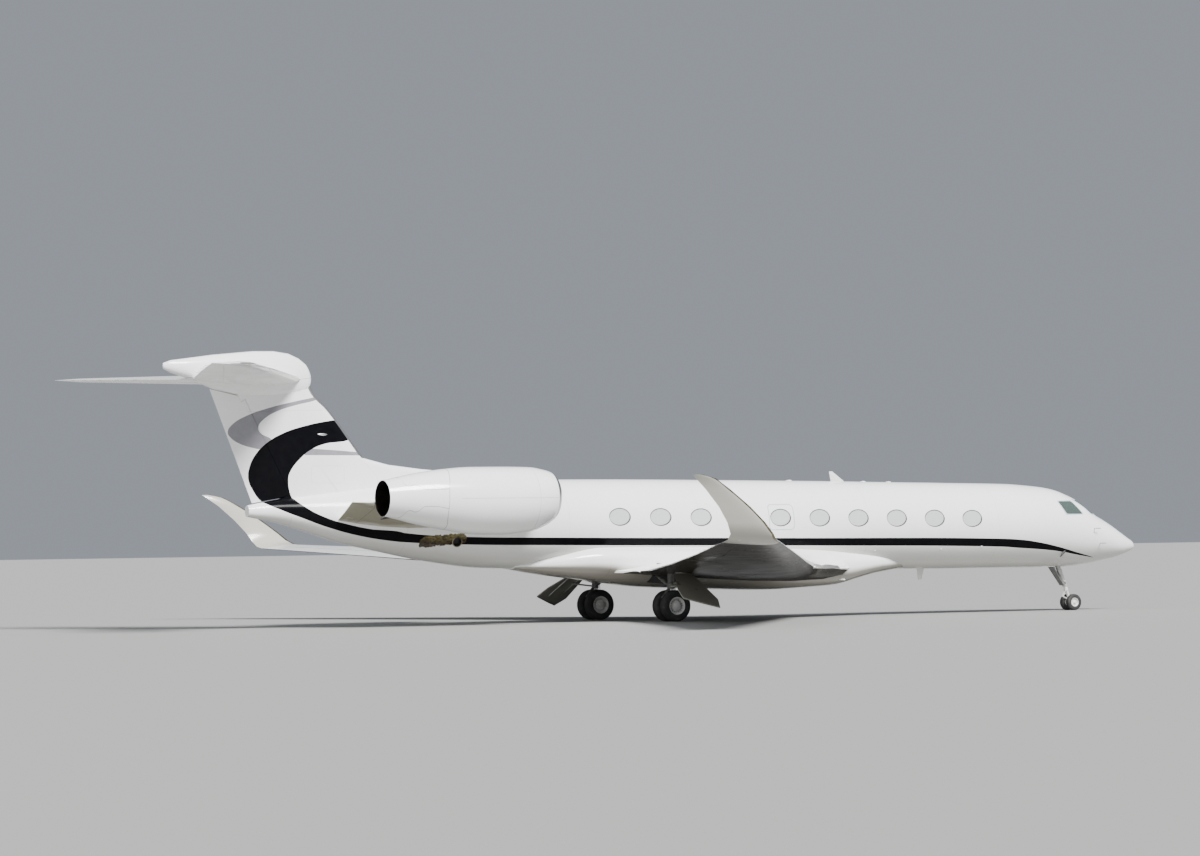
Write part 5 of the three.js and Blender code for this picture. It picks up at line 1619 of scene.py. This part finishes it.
def makeCushion(name, low, high, thin, facing):
    inset = cushionLook["inset"]
    piece = addBox([value + inset for value in low], [value - inset for value in high], 0.022, 3)
    takeUp(named(piece, name))
    even = piece.modifiers.new("even", "REMESH")
    even.mode, even.voxel_size = "VOXEL", cushionLook["voxel"]
    bpy.ops.object.modifier_apply(modifier="even")
    rest = [vertex.co.copy() for vertex in piece.data.vertices]
    cloth = piece.modifiers.new("stuffing", "CLOTH")
    cloth.settings.use_pressure = True
    cloth.settings.uniform_pressure_force = cushionLook["pressure"]
    cloth.settings.effector_weights.gravity = 0
    for step in range(1, cushionLook["frames"] + 1):
        bpy.context.scene.frame_set(step)
    bpy.ops.object.modifier_apply(modifier="stuffing")
    bpy.context.scene.frame_set(1)
    width = high[1] - low[1]
    for vertex, start in zip(piece.data.vertices, rest):
        move = vertex.co - start
        if move.length > cushionLook["cap"]:
            vertex.co = start + move.normalized() * cushionLook["cap"]
        share = (start.y - low[1]) / width
        sunk = sum(math.exp(-((share - place) * width / cushionLook["channelWidth"]) ** 2)
                   for place in cushionLook["channels"])
        if facing * (start[thin] - (low[thin] + high[thin]) / 2) > 0.2 * (high[thin] - low[thin]):
            vertex.co[thin] -= facing * sunk * cushionLook["channel"]
    piece.modifiers.new("finer", "SUBSURF").levels = 1
    bpy.ops.object.modifier_apply(modifier="finer")
    return smoothed(piece, 60)


def makePiping(name, low, high, thin):
    inset = cushionLook["inset"] + 0.012
    axes = [axis for axis in range(3) if axis != thin]
    loops = []
    for level in (low[thin] + inset, high[thin] - inset):
        corners = []
        for first, second in ((0, 0), (1, 0), (1, 1), (0, 1)):
            place = [0, 0, 0]
            place[thin] = level
            place[axes[0]] = (low[axes[0]], high[axes[0]])[first] + (0.01, -0.01)[first]
            place[axes[1]] = (low[axes[1]], high[axes[1]])[second] + (0.01, -0.01)[second]
            corners.append(Vector(place))
        places = []
        for i, corner in enumerate(corners):
            before, after = corners[i - 1], corners[(i + 1) % 4]
            places += [corner.lerp(before, 0.12), corner.lerp((before + after) / 2, 0.05),
                       corner.lerp(after, 0.12), corner.lerp(after, 0.5)]
        loops.append(hosePiece("loop", [*places, places[0]], cushionLook["piping"], 2))
    return smoothed(joined(loops, name), 60)


def makeSeats():
    parts = []
    for key, (low, high, thin, facing) in seatParts["cushions"].items():
        parts.append((makeCushion("seat_" + key + "_left", low, high, thin, facing), "seat_leather", True))
        parts.append((makePiping("seat_" + key + "_piping_left", low, high, thin), "piping_leather", False))
    shell = joined([addBox(low, high, 0.011, 3) for low, high in seatParts["shell"]], "seat_shell_left")
    arms = joined([addBox(low, high, 0.012, 3) for low, high in seatParts["arms"]], "seat_arms_left")
    parts += [(smoothed(shell), "dark_trim", False), (smoothed(arms), "seat_leather", False)]
    for made, coat, stuffed in parts:
        other = smoothed(mirroredCopy(made, made.name.replace("left", "right")), 60 if stuffed else 30)
        for piece, word in ((made, "left"), (other, "right")):
            dressed(piece, coat, "trim_plastic" if coat == "dark_trim" else "leather",
                    nodes=["pilot_seat_" + word] if "pad_" + word in piece.name else [])


makeSeats()
print("stage: pilot seats")

# Instrument panel with its screens, hood and yokes
panelShape = {"face": 14.36, "screens": [(-0.55, 0.17), (-0.19, 0.15), (0.19, 0.15), (0.55, 0.17)],
              "low": 2.36,
              "high": 2.62, "yokeY": 0.46, "grips": [(14.12, -0.13, 2.4), (14.14, -0.14, 2.3),
                                                     (14.14, 0, 2.27), (14.14, 0.14, 2.3),
                                                     (14.12, 0.13, 2.4)]}
carried("instrument_panel", "panel_body", "dark_trim", "trim_plastic")
face = panelShape["face"]
screens = []
for y, half in panelShape["screens"]:
    screen = addBox((face - 0.012, y - half, panelShape["low"]),
                    (face - 0.0005, y + half, panelShape["high"]), 0.004)
    with editing(screen):
        pick("faces", lambda item: item.normal.x < -0.9)
        bpy.ops.mesh.inset(thickness=0.012, depth=-0.003)
    screens.append(screen)
dressed(smoothed(joined(screens, "panel_screens")), "screen_glass", "trim_plastic")
yokes = []
for side in (-1, 1):
    y = side * panelShape["yokeY"]
    yokes.append(plainRod("column", (face - 0.002, y, 2.22), (14.14, y, 2.3), 0.018))
    yokes.append(hosePiece("grips", [(x, y + across, z) for x, across, z in panelShape["grips"]], 0.014, 3))
dressed(smoothed(joined(yokes, "panel_yokes"), 50), "seal_rubber", "trim_plastic")

# Pale frames round the cockpit windows, a little proud of the skin
frameShape = {"proud": 0.004, "deep": -0.02, "wide": -0.05, "lap": 0.0015, "first": 1.3, "last": 4.2}


def makeWindowFrames():
    first, last, step = frameShape["first"], frameShape["last"], shape["noseStep"]
    outer = ringPiece("frame_outer", fuselageRings(first, last, step, frameShape["proud"]))
    inner = ringPiece("frame_inner", fuselageRings(first - 0.1, last + 0.1, step, frameShape["deep"]))
    band = cutWith(outer, inner)
    frames = []
    for kind in ("side", "front"):
        for side in (-1, 1):
            made = cutWith(duplicate(band, "frame"), windowPrism(kind, side, frameShape["wide"]), "INTERSECT")
            for place in (-1, 1):
                for other in ("side", "front"):
                    cutWith(made, windowPrism(other, place, frameShape["lap"]))
            frames.append(made)
    bpy.data.objects.remove(band)
    whole = frames[0]
    for made in frames[1:]:
        cutWith(whole, made, "UNION")
    return named(whole, "cockpit_window_frames")


dressed(smoothed(makeWindowFrames()), "window_frame_paint", "white_paint")
print("stage: cockpit")


# Probes, antennas, lights, wicks, scoops and drains
fittings = {
    "probes": [(14.586, 2.516, 0.12, 0.17), (14.863, 2.058, 0.1, 0.17)], "vane": (13.45, 1.8),
    "mast": [(0, 0.02), (0.1, 0.017), (0.95, 0.01), (1, 0.006)],
    "tube": [(0, 0.008), (0.2, 0.013), (0.9, 0.01), (1, 0.005)],
    "vaneRoot": [(0, 0.045), (0.7, 0.045), (1, 0.03)],
    "vaneArm": [(0, 0.016), (0.15, 0.034), (0.8, 0.028), (1, 0.008)],
    "aerials": [
        [(6.21, 4.0), (5.77, 4.32), (5.66, 4.32), (5.72, 4.0)],
        [(8.99, 1.4), (8.88, 1.04), (8.76, 1.04), (8.72, 1.4)],
    ],
    "domes": [(4.24, 0.22, 0.09, 0.035), (6.84, 0.2, 0.08, 0.03), (7.74, 0.2, 0.08, 0.03)],
    "drop": [(0, 0.12), (0.08, 0.55), (0.2, 0.85), (0.38, 1.0), (0.6, 0.85), (0.8, 0.55), (0.94, 0.25),
             (1, 0.06)],
    "ports": [(6.548, 1.953), (8.867, 1.965), (10.3, 2.02)], "portRadius": 0.03,
}


def bladePiece(name, corners, half=0.009):
    piece = prism(corners, 1, -half, half)
    return bevelEdges(piece, half * 0.7, 2)


def teardrop(name, x, y, z, long, half, up, down=0.02):
    rings = [oneRing(x + long * (0.5 - share), y, z, half * size, up * size, down * size)
             for share, size in fittings["drop"]]
    return ringPiece(name, rings, 24)


def skinPlace(x, z, side, lift=0.0):
    return Vector((x, side * (skinY(noseX - x, z) + lift), z))


def makeProbes():
    pieces = []
    for side in (-1, 1):
        for x, z, out, length in fittings["probes"]:
            foot, tip = skinPlace(x, z, side, -0.01), skinPlace(x, z, side, out)
            pieces.append(rodPiece("mast", foot, tip, fittings["mast"], 12))
            pieces.append(rodPiece("tube", tip + Vector((-0.04, 0, 0)), tip + Vector((length, 0, 0)),
                                   fittings["tube"], 14))
    return smoothed(joined(pieces, "air_probes"), 45)


def makeVanes():
    x, z = fittings["vane"]
    pieces = []
    for side in (-1, 1):
        foot = skinPlace(x, z, side, -0.02)
        lean = Vector((-0.16, side * 0.06, -0.15))
        pieces.append(rodPiece("vane_root", foot, foot + Vector((0, side * 0.045, -0.01)),
                               fittings["vaneRoot"], 20))
        pieces.append(rodPiece("vane_arm", foot + Vector((0.06, side * 0.03, 0.06)), foot + lean,
                               fittings["vaneArm"], 14))
    return smoothed(joined(pieces, "flow_vanes"), 45)


def makeAerials():
    pieces = [bladePiece("blade", corners) for corners in fittings["aerials"]]
    for x, long, half, up in fittings["domes"]:
        crown = readRow(fuselageShape["rows"], noseX - x)[1]
        pieces.append(teardrop("dome", x, 0, crown - 0.004, long, half, up))
    return smoothed(joined(pieces, "aerials"), 40)


dressed(makeProbes(), "gear_steel", "bare_metal")
dressed(makeVanes(), "seal_rubber", "bare_metal")
dressed(makeAerials(), "nose_rim_coat", "white_paint")

# The far edge of a packed surface at a share of its span, counted from the root
def edgePlace(node, share, rear=True):
    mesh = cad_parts[node].data
    spans = [vertex.co.y for vertex in mesh.vertices]
    root, tip = sorted((min(spans), max(spans)), key=abs)
    span = root + (tip - root) * share
    found = []
    for edge in mesh.edges:
        a, b = (mesh.vertices[i].co for i in edge.vertices)
        if (a.y - span) * (b.y - span) < 0:
            found.append(a.lerp(b, (span - a.y) / (b.y - a.y)))
    return (min if rear else max)(found, key=lambda place: place.x)


wickRows = {
    "aileron_panel_": ("aileron_", (0.3, 0.48, 0.66, 0.82, 0.95)), "airframe": ("wing_", (0.95, 0.98)),
    "elevator_panel_": ("elevator_", (0.4, 0.55, 0.7, 0.83, 0.94)),
}
wickShape = {"long": 0.12, "radius": 0.0035}
# Wing lamps: name, lens, share of the span, how far aft, length, half width, up, down
lampShape = {
    "wing": [("position_lamp_", None, 0.975, 0.04, 0.12, 0.022, 0.018, 0.018),
             ("landing_lamp_", "clear_lens", 0.13, 0.06, 0.2, 0.11, 0.045, 0.045)],
    "tips": {"left": "red_lens", "right": "green_lens"}, "tail": (-15.72, 0, 7.31, 0.12, 0.04, 0.05, 0.05),
    "fin": (-11.08, 0.165, 5.42, 0.36, 0.03, 0.036, 0.036),
}


def makeWicks(node, body, spans, word, side):
    pieces = []
    for span in spans:
        start = edgePlace(node + word, span) + Vector((0.012, 0, 0))
        pieces.append(plainRod("wick", start, start + Vector((-wickShape["long"], 0, -0.004)),
                               wickShape["radius"], 8))
    piece = smoothed(joined(pieces, "wicks_" + node + word), 50)
    dressed(piece, "seal_rubber", "trim_plastic", body if body == "airframe" else body + word)


for word, side in sides:
    for body, (node, spans) in wickRows.items():
        makeWicks(node, body, spans, word, side)
    for kind, lens, share, aft, *size in lampShape["wing"]:
        front = edgePlace("wing_" + word, share, False)
        lamp = teardrop(kind + word, front.x - aft, front.y, front.z, *size)
        dressed(smoothed(lamp, 60), lens or lampShape["tips"][word], "glass")
dressed(smoothed(teardrop("tail_lamp", *lampShape["tail"]), 60), "clear_lens", "glass")
x, y, z, *size = lampShape["fin"]
logoLamps = [teardrop("fin_lamp", x, side * y, z, *size) for side in (-1, 1)]
dressed(smoothed(joined(logoLamps, "fin_lamp_fairings"), 60), "gear_steel", "white_paint")
ports = []
for x, z in fittings["ports"]:
    for side in (-1, 1):
        start = skinPlace(x, z, side, -0.01)
        ports.append(rodPiece("port", start, skinPlace(x, z, side, 0.006),
                              [(0, fittings["portRadius"]), (0.8, fittings["portRadius"]), (1, 0.02)], 20))
dressed(smoothed(joined(ports, "side_ports"), 40), "clear_lens", "glass")
print("stage: probes, aerials and lamps")

# Round outlet low on the starboard side, with its lip, a drain below each exhaust and scoops on the fairing
outlet = {"radius": 0.128, "lip": 0.15, "depth": 0.16, "reach": 0.21, "aim": (-0.12, -1, -0.3)}


def makeOutlet():
    x, z = fuselageLook["outlet"]
    skin = skinPlace(x, z, -1)
    aim = Vector(outlet["aim"]).normalized()
    cutWith(aftSkin, rodPiece("bore", skin - aim * outlet["depth"], skin + aim * 0.2,
                              [(0, outlet["radius"]), (1, outlet["radius"])], 40))
    # The bore's walls take the near-black rubber tone.
    paintFaces(aftSkin, "seal_rubber", lambda face: (face.center - skin).length < outlet["reach"]
               and (face.center - skin).cross(aim).length < outlet["radius"] + 0.001 and face.area < 0.06
               and skinY(noseX - face.center.x, face.center.z) - abs(face.center.y) > 0.004)
    inner, outer = outlet["radius"], outlet["lip"]
    rows = [(inner - 0.001, -0.05), (outer, -0.05), (outer, 0.008), (outer - 0.006, 0.014),
            (inner + 0.004, 0.014), (inner - 0.001, 0.008)]
    return smoothed(aimed(turnedPiece("outlet_lip", rows, (0, 0, 0), 48, "x"), skin, aim), 40)


dressed(makeOutlet(), "outlet_metal", "dark_metal")
drainRows = {"drain": ((-9.95, 3.09), (-10.38, 3.02), 0.024, 14),
             "drain_foot": ((-10.02, 3.14), (-10.02, 3.07), 0.018, 12)}
drains = []
for side in (-1, 1):
    y = side * nacelleShape["outboard"]
    for name, ((frontX, frontZ), (rearX, rearZ), radius, steps) in drainRows.items():
        drains.append(plainRod(name, (frontX, y, frontZ), (rearX, y, rearZ), radius, steps))
dressed(smoothed(joined(drains, "exhaust_drains"), 40), "seal_rubber", "dark_metal")
# Fairing scoops: x, half width, half height, lift
scoopShape = {
    "y": 1.13, "z": 1.1, "deep": 0.08,
    "rows": [(5.43, 0.07, 0.035, -0.012), (5.41, 0.078, 0.04, -0.012), (5.25, 0.08, 0.045, 0.0),
             (5.1, 0.06, 0.035, 0.015), (5.0, 0.02, 0.012, 0.03)],
}
scoops = []
for side in (-1, 1):
    scoop = ringPiece("scoop", [oneRing(x, side * scoopShape["y"], scoopShape["z"] + lift, half, up)
                                for x, half, up, lift in scoopShape["rows"]], 28)
    with editing(scoop):
        pick("faces", lambda face: face.normal.x > 0.99)
        bpy.ops.mesh.inset(thickness=0.009, depth=0)
        bpy.ops.mesh.extrude_region_move(TRANSFORM_OT_translate={"value": (-scoopShape["deep"], 0, 0)})
    scoops.append(scoop)
scoopPiece = dressed(smoothed(joined(scoops, "fairing_scoops"), 40), "fairing_paint", "white_paint")
paintFaces(scoopPiece, "dark_trim", lambda face: face.normal.x > 0.9 and face.center.x < 5.4)
print("stage: outlet, drains and scoops")


print("stage: done")
